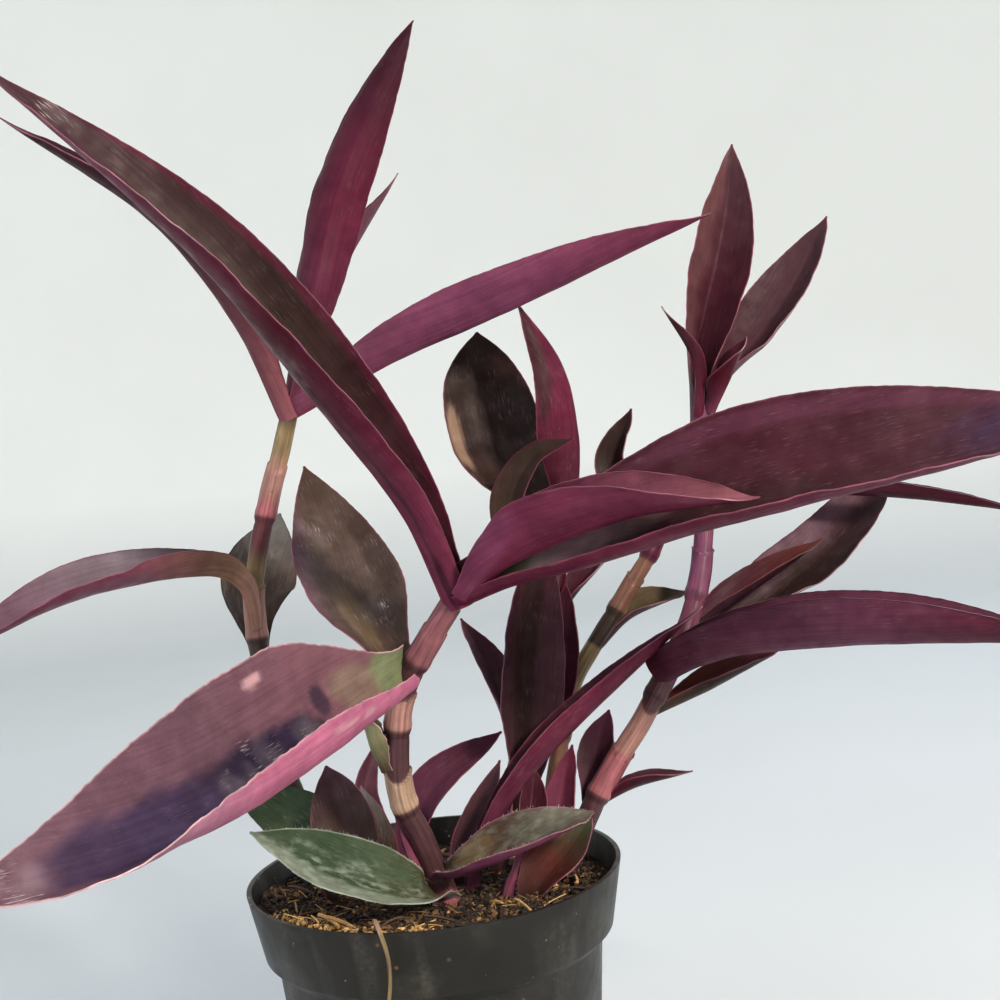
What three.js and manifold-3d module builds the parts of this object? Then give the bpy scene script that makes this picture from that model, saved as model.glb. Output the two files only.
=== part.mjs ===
// Potted purple heart: leafy stems with long folded leaves, growing in a small plastic nursery pot.
// Millimetres, +Z up. The origin is the centre of the pot's foot, +X is the plant's right-hand side
// and +Y its back.

import * as THREE from "three";
import { mergeVertices } from "three/addons/utils/BufferGeometryUtils.js";
import Module from "manifold-3d";

const wasm = await Module();
wasm.setup();

// Room kept between neighbouring pieces, and the distance below which two vertices are one
const GAP = 0.3;
const WELD = 1e-4;

// Pot: a 10 cm nursery pot with a plain band under its rim
const POT_HEIGHT = 88;
const RIM_RADIUS = 50;
const BAND_HEIGHT = 17;
const BAND_TAPER = 3.4;
const STEP_WIDTH = 3.2;
const STEP_HEIGHT = 3;
const FOOT_RADIUS = 37;
const FOOT_CHAMFER = 1.5;
const POT_WALL = 1.3;
const POT_FLOOR = 2;
const LIP_ROUND = 0.5;
const POT_SEGMENTS = 42;
const DRAIN_COUNT = 8;
const DRAIN_RADIUS = 3.5;
const DRAIN_CIRCLE = 29;
const DRAIN_SIDES = 12;

// Soil: fills the pot, heaped towards the front and lower at the back right, with straws on it
const SOIL_LEVEL = 82.3;
const SOIL_SLOPE_X = -0.03;
const SOIL_SLOPE_Y = -0.055;
const SOIL_LUMP = 0.7;
const SOIL_DROP = 4;
const SOIL_RINGS = [0.84, 0.6, 0.3];
const STRAW_COUNT = 7;
const STRAW_RADIUS = 0.55;
const STRAW_SIDES = 5;
const STRAW_LENGTH = [5, 12];
const STRAW_LEAN = 0.3;
const STRAW_REACH = 36;
const STRAW_LIFT = 0.4;
const STRAW_SEED = 7;

// Stems
const STEM_SIDES = 8;
const STEM_STATION = 12;
const FIBRE_STATION = 3.5;
const NODE_SWELL = 0.6;
const NODE_HALF = 1.6;
const SHEATH_SWELL = 0.45;

// Leaves
const BLADE_THICKNESS = 0.8;
const BLADE_TIP_WIDTH = 1.2;
const CREASE_SHARE = 0.35;
const LEAST_CURL = 0.01;
const NARROW_HALF = 4;
const NORMAL_STEP = 0.02;
const LARGE_LEAF = 90;
const LARGE_STATIONS = 12;
const SMALL_STATIONS = 7;
const LARGE_STRIPS = 6;
const SMALL_STRIPS = 4;

// How rough each surface is, from 0 for a mirror to 1 for a dull one
const LEAF_ROUGHNESS = 0.45;
const STEM_ROUGHNESS = 0.5;
const POT_ROUGHNESS = 0.6;
const SOIL_ROUGHNESS = 0.95;

// Colours
const CHARCOAL = 0x2b2a27;
const PEAT = 0x2a1c10;
const PLUM = 0x4a2a34;
const MAGENTA = 0x7a2f58;
const DARK_OLIVE = 0x2c2620;
const GREY_GREEN = 0x5a6e5a;
const SHEATH_GREEN = 0x8a8a4a;
const SHEATH_PINK = 0xa06a58;
const FIBRE_TAN = 0x6e4a2a;

const degrees = THREE.MathUtils.degToRad;
const lerp = THREE.MathUtils.lerp;
const smooth = THREE.MathUtils.smoothstep;

// Each stem: spacing of its sections, radius at its foot and at its top, places of its nodes as
// shares of its length, the length of leaf sheath above each node, and the route of its centre line
const STEMS = {
  front_stem: {
    colour: SHEATH_PINK, station: STEM_STATION,
    radius: [3.3, 2.9],
    nodes: [0.235, 0.487, 0.682, 0.845],
    sheath: 9.5,
    route: [[5, -12, 58], [4, -16, 80], [-1, -18, 100], [-5, -20, 112], [-5, -22, 126], [-2, -24, 140],
      [6, -26, 153], [12, -27, 161]],
  },
  left_stem: {
    colour: SHEATH_PINK, station: STEM_STATION,
    radius: [3.2, 2.5],
    nodes: [0.34, 0.58, 0.79],
    sheath: 15,
    route: [[-22, 12, 58], [-29, 16, 80], [-37, 21, 100], [-42, 24, 115], [-46, 27, 147], [-46, 29, 165],
      [-41, 30, 185], [-33, 32, 209], [-31, 33, 218]],
  },
  middle_stem: {
    colour: SHEATH_PINK, station: STEM_STATION,
    radius: [2.8, 2],
    nodes: [0.3, 0.55, 0.8],
    sheath: 10,
    route: [[12, 10, 58], [16, 13, 80], [23, 18, 105], [33, 26, 135], [41, 32, 160], [46, 35, 180]],
  },
  olive_stem: {
    colour: SHEATH_PINK, station: STEM_STATION,
    radius: [2.7, 2.2],
    nodes: [0.45, 0.75, 0.89],
    sheath: 11,
    route: [[24, 14, 58], [30, 20, 80], [37, 24, 112], [43, 26, 130], [57, 30, 149], [69, 33, 165],
      [74, 35, 176]],
  },
  right_stem: {
    colour: SHEATH_PINK, station: STEM_STATION,
    radius: [3.1, 2.6],
    nodes: [0.28, 0.47, 0.66, 0.94],
    sheath: 14,
    route: [[30, 4, 58], [35, 8, 80], [41, 11, 92], [50, 13, 106], [60, 15, 119], [70, 18, 134],
      [79, 25, 150], [84, 31, 168], [86, 36, 190], [87, 38, 205]],
  },
  young_stem: {
    colour: MAGENTA, station: STEM_STATION,
    radius: [1.7, 1.4],
    nodes: [],
    sheath: 0,
    route: [[16, -14, 66], [19, -12, 82], [22, -10, 88], [25, -7, 95]],
  },
  root_fibre: {
    colour: FIBRE_TAN, station: FIBRE_STATION,
    radius: [0.7, 0.5],
    nodes: [],
    sheath: 0,
    route: [[-12, -39, 83], [-12, -46, 90], [-11, -51, 91], [-9, -53, 85], [-9, -52, 79], [-10, -51, 72]],
  },
};

// Each leaf: full width when laid flat, place of the widest part and width of the base as shares,
// how far both margins (or the left and right ones) rise from base to tip, as degrees of slope, the
// way the upper face looks, and the route of the fold from base to tip. The fold lies on the midrib,
// or off it by the share "keel" of half the width, towards the right margin where it is above zero.
// A tip is pointed, and rounder where "blunt" is above 2.
const LEAVES = {
  front_leaf_low: {
    colour: PLUM, width: 41, widest: 0.34, base: 0.42, keel: -0.42,
    left: [120, 120, 118, 105, 55, 12],
    right: [110, 95, 80, 62, 35, 15],
    facing: [[0.1, -0.2, 0.95], [0.1, -0.35, 0.9], [0.05, -0.45, 0.85], [0, -0.68, 0.72], [0, -0.8, 0.55]],
    route: [[1, -25, 141], [-9, -46, 137], [-30, -86, 130], [-50, -118, 129], [-74, -138, 130]],
  },
  front_leaf_broad: {
    colour: DARK_OLIVE, width: 29, widest: 0.4, base: 0.45,
    fold: [80, 40, 25, 20],
    facing: [[0.2, -0.8, 0.6], [0.2, -0.7, 0.7]],
    route: [[0, -22, 143], [-6, -17, 149], [-15, -4, 165], [-21, 8, 180], [-27, 18, 198]],
  },
  front_leaf_tall: {
    colour: PLUM, width: 32, widest: 0.4, base: 0.5,
    fold: [120, 90, 75, 60, 40],
    facing: [[0.8, -0.3, 0.4], [0.75, -0.45, 0.45], [0.7, -0.5, 0.5]],
    route: [[11, -28, 160], [2, -35, 186], [-14, -43, 212], [-38, -56, 249], [-74, -72, 289]],
  },
  front_leaf_right: {
    colour: PLUM, width: 37, widest: 0.5, base: 0.42, keel: 0.4,
    left: [110, 82, 62, 48, 35],
    right: [110, 90, 80, 70, 60, 40],
    facing: [[-0.2, -0.5, 0.85], [0, -0.6, 0.8], [0, -0.62, 0.75]],
    route: [[15, -30, 161], [29, -38, 166], [44, -44, 169], [76, -55, 177], [106, -63, 183],
      [135, -70, 189], [160, -76, 196]],
  },
  front_leaf_young: {
    colour: MAGENTA, width: 29, widest: 0.35, base: 0.42,
    left: [125, 120, 115, 110, 90],
    right: [90, 100, 75, 42, 25],
    facing: [[-0.1, -0.3, 0.9], [-0.1, 0.1, 0.95], [-0.1, 0.1, 0.95], [-0.1, -0.15, 0.95]],
    route: [[17, -32, 162], [28, -41, 171], [53, -55, 180], [83, -66, 183]],
  },
  left_leaf_up: {
    colour: MAGENTA, width: 22, widest: 0.4, base: 0.5,
    fold: [120, 70, 50, 30],
    facing: [[0.7, -0.1, 0.7], [0.7, -0.1, 0.7]],
    route: [[-34, 31, 211], [-43, 22, 239], [-61, 11, 268], [-96, -2, 297]],
  },
  left_leaf_out: {
    colour: PLUM, width: 23, widest: 0.55, base: 0.42,
    left: [140, 90, 50, 45, 40],
    right: [140, 110, 75, 65, 50],
    facing: [[0.6, 0.75, 0.1], [0.1, 0.2, 1], [-0.1, -0.2, 1], [-0.1, -0.3, 1], [-0.1, -0.45, 0.9]],
    route: [[-47, 23, 153], [-47.5, 22.5, 160], [-49, 20, 166], [-55, 13.5, 170.5], [-72, 2, 171],
      [-90, -9, 168], [-117, -22, 158]],
  },
  left_leaf_across: {
    colour: MAGENTA, width: 29, widest: 0.45, base: 0.5,
    fold: [120, 85, 75, 50],
    facing: [[-0.4, 0.1, 0.9], [-0.3, 0.1, 0.95]],
    route: [[-30, 32, 212], [0, 25, 225], [37, 18, 237], [59, 13, 245], [90, 8, 256]],
  },
  left_leaf_top: {
    colour: MAGENTA, width: 21, widest: 0.5, base: 0.6,
    fold: [110, 60, 50, 30],
    facing: [[0.1, 1, 0.1], [0.3, 1, 0.1]],
    route: [[-32, 30, 214], [-19, 35, 258], [-11, 36, 280], [0, 37, 301], [14, 38, 323]],
  },
  left_leaf_inner: {
    colour: MAGENTA, width: 15, widest: 0.4, base: 0.5,
    fold: [120, 90, 70],
    facing: [[-0.8, -0.3, 0.5], [-0.8, -0.3, 0.5]],
    route: [[-30, 36, 215], [-15, 45, 252], [5, 49, 282]],
  },
  left_leaf_shade: {
    colour: GREY_GREEN, width: 24, widest: 0.45, base: 0.4,
    fold: [80, 30, 20],
    facing: [[0.2, -0.9, 0.4], [0.2, -0.8, 0.5]],
    route: [[-47, 30, 145], [-48, 42, 162], [-41, 57, 184]],
  },
  low_leaf_back_left: {
    colour: GREY_GREEN, width: 20, widest: 0.45, base: 0.5,
    fold: [60, 30, 20],
    facing: [[-0.3, -0.5, 0.8], [-0.3, -0.5, 0.8]],
    route: [[-22, 2, 77], [-28, 5, 93], [-40, 9, 103], [-55, 15, 111]],
  },
  low_leaf_plum: {
    colour: PLUM, width: 19, widest: 0.4, base: 0.7, blunt: 3,
    fold: [50, 30, 20],
    facing: [[0, -1, 0.1], [0, -1, 0.1]],
    route: [[-21, -6, 77], [-22, -5, 92], [-23, -2, 103], [-27, 4, 117]],
  },
  low_leaf_slate: {
    colour: GREY_GREEN, width: 11, widest: 0.4, base: 0.5,
    fold: [50, 30, 20],
    facing: [[0.2, -1, 0.2], [0.2, -1, 0.2]],
    route: [[-12, 0, 77], [-14, 2, 88], [-16, 6, 100], [-19, 11, 109]],
  },
  low_leaf_dark: {
    colour: PLUM, width: 10, widest: 0.4, base: 0.5,
    fold: [60, 50, 40],
    facing: [[0.4, -1, 0.2], [0.4, -1, 0.2]],
    route: [[-13, 10, 77], [-15, 12, 90], [-19, 18, 105], [-14, 25, 119]],
  },
  low_leaf_silver: {
    colour: GREY_GREEN, width: 19, widest: 0.45, base: 0.45,
    fold: [70, 40, 25],
    facing: [[-0.2, -0.6, 0.8], [-0.3, -0.5, 0.8]],
    route: [[4, -17, 84], [-3, -27, 89], [-19, -32, 98], [-31, -30, 104], [-43, -27, 109]],
  },
  low_leaf_right: {
    colour: GREY_GREEN, width: 18, widest: 0.5, base: 0.4,
    left: [70, 35, 25],
    right: [110, 110, 90, 50],
    facing: [[0, -0.7, 0.7], [0, -0.7, 0.7]],
    route: [[2, -17, 90], [9, -24, 93], [24, -26, 99], [33, -24, 102], [43, -20, 104.5]],
  },
  low_leaf_rose: {
    colour: MAGENTA, width: 17, widest: 0.5, base: 0.4,
    fold: [60, 45, 25],
    facing: [[-0.4, -0.6, 0.5], [-0.4, -0.6, 0.5]],
    route: [[23, -15, 77], [28, -13, 85], [35, -10, 91], [43, -6, 99]],
  },
  middle_leaf_channel: {
    colour: DARK_OLIVE, width: 26, widest: 0.45, base: 0.5,
    fold: [110, 70, 60, 50],
    facing: [[0.3, -1, 0], [0.4, -1, 0]],
    route: [[20, 15, 95], [24, 14, 105], [27, 13, 126], [30, 14, 146], [37, 17, 177]],
  },
  middle_leaf_small: {
    colour: PLUM, width: 14, widest: 0.4, base: 0.5,
    fold: [80, 50, 30],
    facing: [[0.5, -0.6, 0.6], [0.5, -0.6, 0.6]],
    route: [[24, 20, 114], [20, 25, 132], [12, 32, 150]],
  },
  middle_leaf_behind: {
    colour: DARK_OLIVE, width: 16, widest: 0.4, base: 0.5,
    fold: [80, 60, 40],
    facing: [[-0.3, -0.9, 0.2], [-0.3, -0.9, 0.2]],
    route: [[34, 22, 112], [40, 24, 135], [43, 27, 158]],
  },
  middle_leaf_round: {
    colour: DARK_OLIVE, width: 29, widest: 0.5, base: 0.5, blunt: 3,
    fold: [80, 30, 20],
    facing: [[0.1, -1, 0.2], [0.1, -1, 0.2]],
    route: [[45, 36, 173], [30, 40, 193], [25, 44, 211], [24, 48, 233]],
  },
  middle_leaf_top: {
    colour: MAGENTA, width: 26, widest: 0.4, base: 0.5,
    fold: [100, 75, 50],
    facing: [[-0.9, 0.2, 0.3], [-0.9, 0.2, 0.3]],
    route: [[48, 33, 176], [50, 27, 200], [47, 25, 220], [36, 22, 238]],
  },
  middle_leaf_bud: {
    colour: PLUM, width: 14, widest: 0.45, base: 0.5,
    fold: [80, 45, 30],
    facing: [[-0.4, -0.8, 0.4], [-0.4, -0.8, 0.4]],
    route: [[38, 29, 150], [33, 25, 168], [30, 20, 183], [37, 17, 195], [48, 15, 199]],
  },
  olive_leaf_tip: {
    colour: DARK_OLIVE, width: 14, widest: 0.4, base: 0.5,
    fold: [80, 60, 50],
    facing: [[-0.5, -0.8, 0.3], [-0.5, -0.8, 0.3]],
    route: [[72, 34, 173], [64, 36, 184], [61, 37, 192], [67, 38, 206]],
  },
  heart_leaf_long: {
    colour: MAGENTA, width: 17, widest: 0.5, base: 0.4,
    fold: [110, 80, 70, 50],
    facing: [[-0.5, 0, 0.8], [-0.5, 0, 0.8]],
    route: [[9, -9, 76], [15, -6, 94], [29, -3, 112], [51, 5, 129], [80, 18, 149]],
  },
  heart_leaf_left: {
    colour: PLUM, width: 14, widest: 0.5, base: 0.5,
    fold: [80, 50, 40],
    facing: [[-0.3, -0.8, 0.4], [-0.3, -0.8, 0.4]],
    route: [[-8, 12, 76], [-5, 14, 95], [2, 15, 107], [21, 18, 119]],
  },
  heart_leaf_small: {
    colour: PLUM, width: 11, widest: 0.45, base: 0.5,
    fold: [80, 60, 40],
    facing: [[-0.5, -0.8, 0.2], [-0.5, -0.8, 0.2]],
    route: [[7, 1, 76], [9, 1, 90], [14, 2, 101], [20, 5, 114]],
  },
  heart_leaf_upright: {
    colour: MAGENTA, width: 14, widest: 0.4, base: 0.6,
    fold: [90, 70, 50],
    facing: [[-0.2, -0.9, 0.2], [-0.2, -0.9, 0.2]],
    route: [[33, 0, 76], [34, 2, 92], [36, 4, 103], [40, 7, 116]],
  },
  heart_leaf_low: {
    colour: DARK_OLIVE, width: 12, widest: 0.4, base: 0.6,
    fold: [90, 70, 50],
    facing: [[0.2, -0.9, 0.2], [0.2, -0.9, 0.2]],
    route: [[25, -7, 91], [27, -3, 102], [29, 2, 112]],
  },
  right_leaf_round: {
    colour: PLUM, width: 12, widest: 0.55, base: 0.5,
    fold: [70, 40, 30],
    facing: [[-0.4, -0.8, 0.4], [-0.4, -0.8, 0.4]],
    route: [[44, 13, 95], [46, 18, 103], [48, 22, 111], [52, 25, 121]],
  },
  right_leaf_thin: {
    colour: MAGENTA, width: 9, widest: 0.4, base: 0.5,
    fold: [90, 70, 60],
    facing: [[-0.2, 0, 1], [-0.2, 0, 1]],
    route: [[46, 13, 97], [57, 11, 102], [72, 6, 106]],
  },
  olive_leaf_right: {
    colour: DARK_OLIVE, width: 14, widest: 0.5, base: 0.5,
    fold: [100, 60, 40],
    facing: [[-0.3, -0.5, 0.8], [-0.3, -0.5, 0.8]],
    route: [[51, 29, 138], [62, 36, 146], [79, 40, 151]],
  },
  olive_leaf_left: {
    colour: PLUM, width: 11, widest: 0.5, base: 0.5,
    fold: [100, 60, 40],
    facing: [[-0.6, -0.6, 0.5], [-0.6, -0.6, 0.5]],
    route: [[39, 30, 146], [47, 32, 156], [59, 36, 167]],
  },
  right_leaf_long: {
    colour: MAGENTA, width: 33, widest: 0.45, base: 0.6,
    fold: [120, 95, 80, 60],
    facing: [[-0.3, 0, 0.95], [-0.1, 0.05, 1], [-0.1, 0.05, 1]],
    route: [[67, 15, 129], [78, 6, 135], [95, 0, 138], [133, -15, 139], [168, -26, 137]],
  },
  right_leaf_under: {
    colour: DARK_OLIVE, width: 14, widest: 0.5, base: 0.5,
    fold: [110, 70, 50],
    facing: [[-0.3, -0.3, 0.9], [-0.3, -0.3, 0.9]],
    route: [[64, 17, 120], [82, 24, 125], [102, 28, 133]],
  },
  right_leaf_rust: {
    colour: PLUM, width: 15, widest: 0.45, base: 0.5,
    fold: [110, 70, 50],
    facing: [[-0.5, -0.4, 0.8], [-0.5, -0.4, 0.8]],
    route: [[74, 21, 138], [82, 29, 142], [95, 34, 149], [120, 39, 163]],
  },
  right_leaf_shade: {
    colour: DARK_OLIVE, width: 25, widest: 0.5, base: 0.5,
    fold: [110, 50, 30],
    facing: [[-0.5, -0.7, 0.5], [-0.5, -0.7, 0.5]],
    route: [[68, 19, 128], [78, 30, 134], [90, 38, 139], [105, 42, 147], [122, 47, 157], [135, 52, 169],
      [144, 56, 182], [149, 59, 194]],
  },
  right_leaf_edge: {
    colour: MAGENTA, width: 12, widest: 0.45, base: 0.5,
    fold: [100, 80, 60],
    facing: [[0, 0, 1], [0, 0, 1]],
    route: [[87, 35, 177], [104, 39, 178], [123, 40, 176], [150, 36, 172], [182, 26, 165]],
  },
  crown_leaf_tall: {
    colour: PLUM, width: 24, widest: 0.5, base: 0.5,
    fold: [120, 70, 55, 40],
    facing: [[0.2, -1, 0], [0, -1, 0.1]],
    route: [[85, 41, 200], [89, 44, 224], [97, 47, 248], [102, 50, 265], [105, 51, 282]],
  },
  crown_leaf_right: {
    colour: PLUM, width: 23, widest: 0.5, base: 0.5,
    fold: [120, 60, 50, 30],
    facing: [[-0.5, -0.8, 0.3], [-0.6, -0.7, 0.4]],
    route: [[88, 40, 203], [98, 47, 214], [111, 54, 226], [124, 60, 242], [135, 65, 260]],
  },
  crown_leaf_thin: {
    colour: MAGENTA, width: 8, widest: 0.3, base: 0.8,
    fold: [120, 120, 90],
    facing: [[0.4, 0.5, 0.5], [0.8, 0, 0.5]],
    route: [[85, 34, 202], [85, 30, 218], [77, 28, 234]],
  },
  crown_leaf_small: {
    colour: MAGENTA, width: 13, widest: 0.45, base: 0.5,
    fold: [110, 80, 60],
    facing: [[-0.3, 0.6, 0.5], [-0.7, -0.5, 0.4]],
    route: [[90, 35, 202], [95, 30, 212], [100, 26, 223]],
  },
  front_petiole: {
    colour: MAGENTA, width: 4.5, widest: 0.3, base: 0.8, blunt: 4,
    fold: [150, 150],
    facing: [[0.3, 0.9, 0], [0.3, 0.9, 0]],
    route: [[-7, -19, 109], [-6, -19.5, 101.5], [-4, -20.5, 94.5], [-2, -22, 88]],
  },
  front_sheath: {
    colour: SHEATH_GREEN, width: 11, widest: 0.5, base: 0.6,
    fold: [110, 90, 60],
    facing: [[1, 0.2, 0], [1, 0.2, 0]],
    route: [[-9, -23, 120], [-11, -24, 126], [-12, -26, 132], [-13, -28, 138]],
  },
};

// Solids

function vector([x, y, z]) {
  return new THREE.Vector3(x, y, z);
}

function curveThrough(points) {
  return new THREE.CatmullRomCurve3(points.map(vector), false, "catmullrom", 0.5);
}

// Value at share u along a list of evenly spaced numbers
function along(list, u) {
  const place = u * (list.length - 1);
  const index = Math.min(Math.floor(place), list.length - 2);
  return lerp(list[index], list[index + 1], place - index);
}

function vectorAlong(list, u) {
  return vector([0, 1, 2].map((axis) => along(list.map((entry) => entry[axis]), u)));
}

function solidFrom(geometry) {
  geometry.deleteAttribute("normal");
  geometry.deleteAttribute("uv");
  const merged = mergeVertices(geometry, WELD);
  return new wasm.Manifold(new wasm.Mesh({
    numProp: 3,
    vertProperties: new Float32Array(merged.attributes.position.array),
    triVerts: new Uint32Array(merged.index.array),
  }));
}

function geometryFrom(solid) {
  const mesh = solid.getMesh();
  const geometry = new THREE.BufferGeometry();
  geometry.setAttribute("position", new THREE.BufferAttribute(mesh.vertProperties, 3));
  geometry.setIndex(new THREE.BufferAttribute(mesh.triVerts, 1));
  geometry.computeVertexNormals();
  return geometry;
}

function largestBody(solid) {
  return solid.decompose().reduce((best, body) => (body.volume() > best.volume() ? body : best));
}

function seededRandom(seed) {
  let state = seed;
  return () => {
    state = (state * 1664525 + 1013904223) % 4294967296;
    return state / 4294967296;
  };
}

// Pot

function innerRadius(z) {
  const bandFoot = POT_HEIGHT - BAND_HEIGHT;
  const stepFoot = bandFoot - STEP_HEIGHT;
  const bandRadius = RIM_RADIUS - BAND_TAPER - POT_WALL;
  const wallRadius = bandRadius - STEP_WIDTH;
  if (z > bandFoot) {
    return lerp(bandRadius, RIM_RADIUS - POT_WALL, (z - bandFoot) / BAND_HEIGHT);
  }
  if (z > stepFoot) {
    return lerp(wallRadius, bandRadius, (z - stepFoot) / STEP_HEIGHT);
  }
  return lerp(FOOT_RADIUS - POT_WALL, wallRadius, z / stepFoot);
}

function potSolid() {
  const bandFoot = POT_HEIGHT - BAND_HEIGHT;
  const stepFoot = bandFoot - STEP_HEIGHT;
  const bandRadius = RIM_RADIUS - BAND_TAPER;
  const profile = [
    [0, 0],
    [FOOT_RADIUS - FOOT_CHAMFER, 0],
    [FOOT_RADIUS, FOOT_CHAMFER],
    [bandRadius - STEP_WIDTH, stepFoot],
    [bandRadius, bandFoot],
    [RIM_RADIUS, POT_HEIGHT - LIP_ROUND],
    [RIM_RADIUS - LIP_ROUND, POT_HEIGHT],
    [RIM_RADIUS - POT_WALL, POT_HEIGHT],
    [innerRadius(bandFoot), bandFoot],
    [innerRadius(stepFoot), stepFoot],
    [innerRadius(POT_FLOOR), POT_FLOOR],
    [0, POT_FLOOR],
  ].map(([radius, z]) => new THREE.Vector2(radius, z));
  const lathe = new THREE.LatheGeometry(profile, POT_SEGMENTS).rotateX(Math.PI / 2);
  let pot = solidFrom(lathe);
  for (let i = 0; i < DRAIN_COUNT; i += 1) {
    const angle = (i / DRAIN_COUNT) * 2 * Math.PI;
    const drain = new THREE.CylinderGeometry(DRAIN_RADIUS, DRAIN_RADIUS, POT_FLOOR * 3, DRAIN_SIDES)
      .rotateX(Math.PI / 2)
      .translate(DRAIN_CIRCLE * Math.cos(angle), DRAIN_CIRCLE * Math.sin(angle), POT_FLOOR / 2);
    pot = pot.subtract(solidFrom(drain));
  }
  return pot;
}

// Soil

function soilHeight(x, y) {
  const lumps = Math.sin(x * 0.33 + 1.3) * Math.cos(y * 0.29 + 0.7) + 0.5 * Math.sin(x * 0.8 + y * 0.6);
  return SOIL_LEVEL + SOIL_SLOPE_X * x + SOIL_SLOPE_Y * y + SOIL_LUMP * lumps;
}

function straw(random) {
  const length = lerp(...STRAW_LENGTH, random());
  const angle = random() * 2 * Math.PI;
  const reach = Math.sqrt(random()) * STRAW_REACH;
  const x = reach * Math.cos(angle);
  const y = reach * Math.sin(angle);
  return new THREE.CylinderGeometry(STRAW_RADIUS, STRAW_RADIUS, length, STRAW_SIDES)
    .rotateX(lerp(-STRAW_LEAN, STRAW_LEAN, random()))
    .rotateZ(random() * Math.PI)
    .translate(x, y, soilHeight(x, y) + STRAW_RADIUS * STRAW_LIFT);
}

function soilSolid() {
  const bottom = POT_FLOOR + GAP;
  const bandFoot = POT_HEIGHT - BAND_HEIGHT;
  const edge = innerRadius(SOIL_LEVEL - SOIL_DROP) - GAP;
  const profile = [
    [0, bottom],
    [innerRadius(bottom) - GAP, bottom],
    [innerRadius(bandFoot - STEP_HEIGHT) - GAP, bandFoot - STEP_HEIGHT],
    [innerRadius(bandFoot) - GAP, bandFoot + GAP],
    [edge, SOIL_LEVEL],
    ...SOIL_RINGS.map((share) => [edge * share, SOIL_LEVEL]),
    [0, SOIL_LEVEL],
  ].map(([radius, z]) => new THREE.Vector2(radius, z));
  const lathe = new THREE.LatheGeometry(profile, POT_SEGMENTS).rotateX(Math.PI / 2);
  const position = lathe.attributes.position;
  for (let i = 0; i < position.count; i += 1) {
    if (position.getZ(i) > SOIL_LEVEL - GAP) {
      position.setZ(i, soilHeight(position.getX(i), position.getY(i)));
    }
  }
  let soil = solidFrom(lathe);
  const random = seededRandom(STRAW_SEED);
  for (let i = 0; i < STRAW_COUNT; i += 1) {
    soil = soil.add(solidFrom(straw(random)));
  }
  return soil;
}

// Stems

// Distances along a stem where its section is given, with the radius at each
function stemStations({ radius, nodes, sheath, station }, length) {
  const stations = [];
  const plain = (distance) => lerp(radius[0], radius[1], distance / length);
  const add = (distance, swell) => {
    if (distance > 0 && distance < length) {
      stations.push([distance, plain(distance) + swell]);
    }
  };
  for (const share of nodes) {
    const place = share * length;
    add(place - NODE_HALF, 0);
    add(place, NODE_SWELL);
    add(place + NODE_HALF, SHEATH_SWELL);
    add(place + sheath, SHEATH_SWELL);
    add(place + sheath + NODE_HALF / 2, 0);
  }
  for (let distance = 0; distance <= length - station / 2; distance += station) {
    const near = stations.some(([other]) => Math.abs(other - distance) < station / 2);
    const inSheath = nodes
      .map((share) => distance - share * length)
      .some((past) => past > 0 && past < sheath);
    if (!near) {
      stations.push([distance, plain(distance) + (inSheath ? SHEATH_SWELL : 0)]);
    }
  }
  stations.push([length, plain(length)]);
  return stations.sort((a, b) => a[0] - b[0]);
}

function stemSolid(spec, grow) {
  const curve = curveThrough(spec.route);
  const length = curve.getLength();
  const stations = stemStations(spec, length);
  const rings = stations.length - 1;
  const geometry = new THREE.CylinderGeometry(1, 1, 1, STEM_SIDES, rings);
  const side = new THREE.Vector3();
  const up = new THREE.Vector3();
  const position = geometry.attributes.position;
  for (let i = 0; i < position.count; i += 1) {
    const ring = Math.round((position.getY(i) + 0.5) * rings);
    const [distance, radius] = stations[ring];
    const share = distance / length;
    const tangent = curve.getTangentAt(share);
    side.set(0, 1, 0).cross(tangent).normalize();
    up.crossVectors(tangent, side);
    const point = curve.getPointAt(share);
    point.addScaledVector(side, position.getZ(i) * (radius + grow));
    point.addScaledVector(up, position.getX(i) * (radius + grow));
    position.setXYZ(i, point.x, point.y, point.z);
  }
  return solidFrom(geometry);
}

// Leaves

// Half the blade's width at share u of its length
function halfWidth({ width, widest, base, blunt = 2 }, u) {
  if (u < widest) {
    return (width / 2) * lerp(base, 1, smooth(u, 0, widest));
  }
  const past = (u - widest) / (1 - widest);
  return Math.max((width / 2) * (1 - past ** blunt), BLADE_TIP_WIDTH / 2);
}

// Point of the blade's middle layer: u runs from base to tip, s from the left margin (-1) to the
// right one (1). Each side of the fold is an arc that leaves the fold at the crease's slope.
function bladePoint(spec, curve, u, s) {
  const { fold, left = fold, right = fold, keel = 0 } = spec;
  const tangent = curve.getTangentAt(u);
  const facing = vectorAlong(spec.facing, u);
  facing.addScaledVector(tangent, -facing.dot(tangent)).normalize();
  const side = new THREE.Vector3().crossVectors(tangent, facing);
  const toRight = s > keel;
  const half = halfWidth(spec, u);
  const span = half * (toRight ? 1 - keel : 1 + keel);
  const reach = (half * Math.abs(s - keel)) / span;
  const slope = degrees(along(toRight ? right : left, u)) * Math.min(1, half / NARROW_HALF);
  const crease = slope * CREASE_SHARE;
  const curl = Math.max(slope - crease, LEAST_CURL);
  const across = (span * (Math.sin(crease + curl * reach) - Math.sin(crease))) / curl;
  const rise = (span * (Math.cos(crease) - Math.cos(crease + curl * reach))) / curl;
  return curve.getPointAt(u).addScaledVector(side, toRight ? across : -across).addScaledVector(facing, rise);
}

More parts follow.
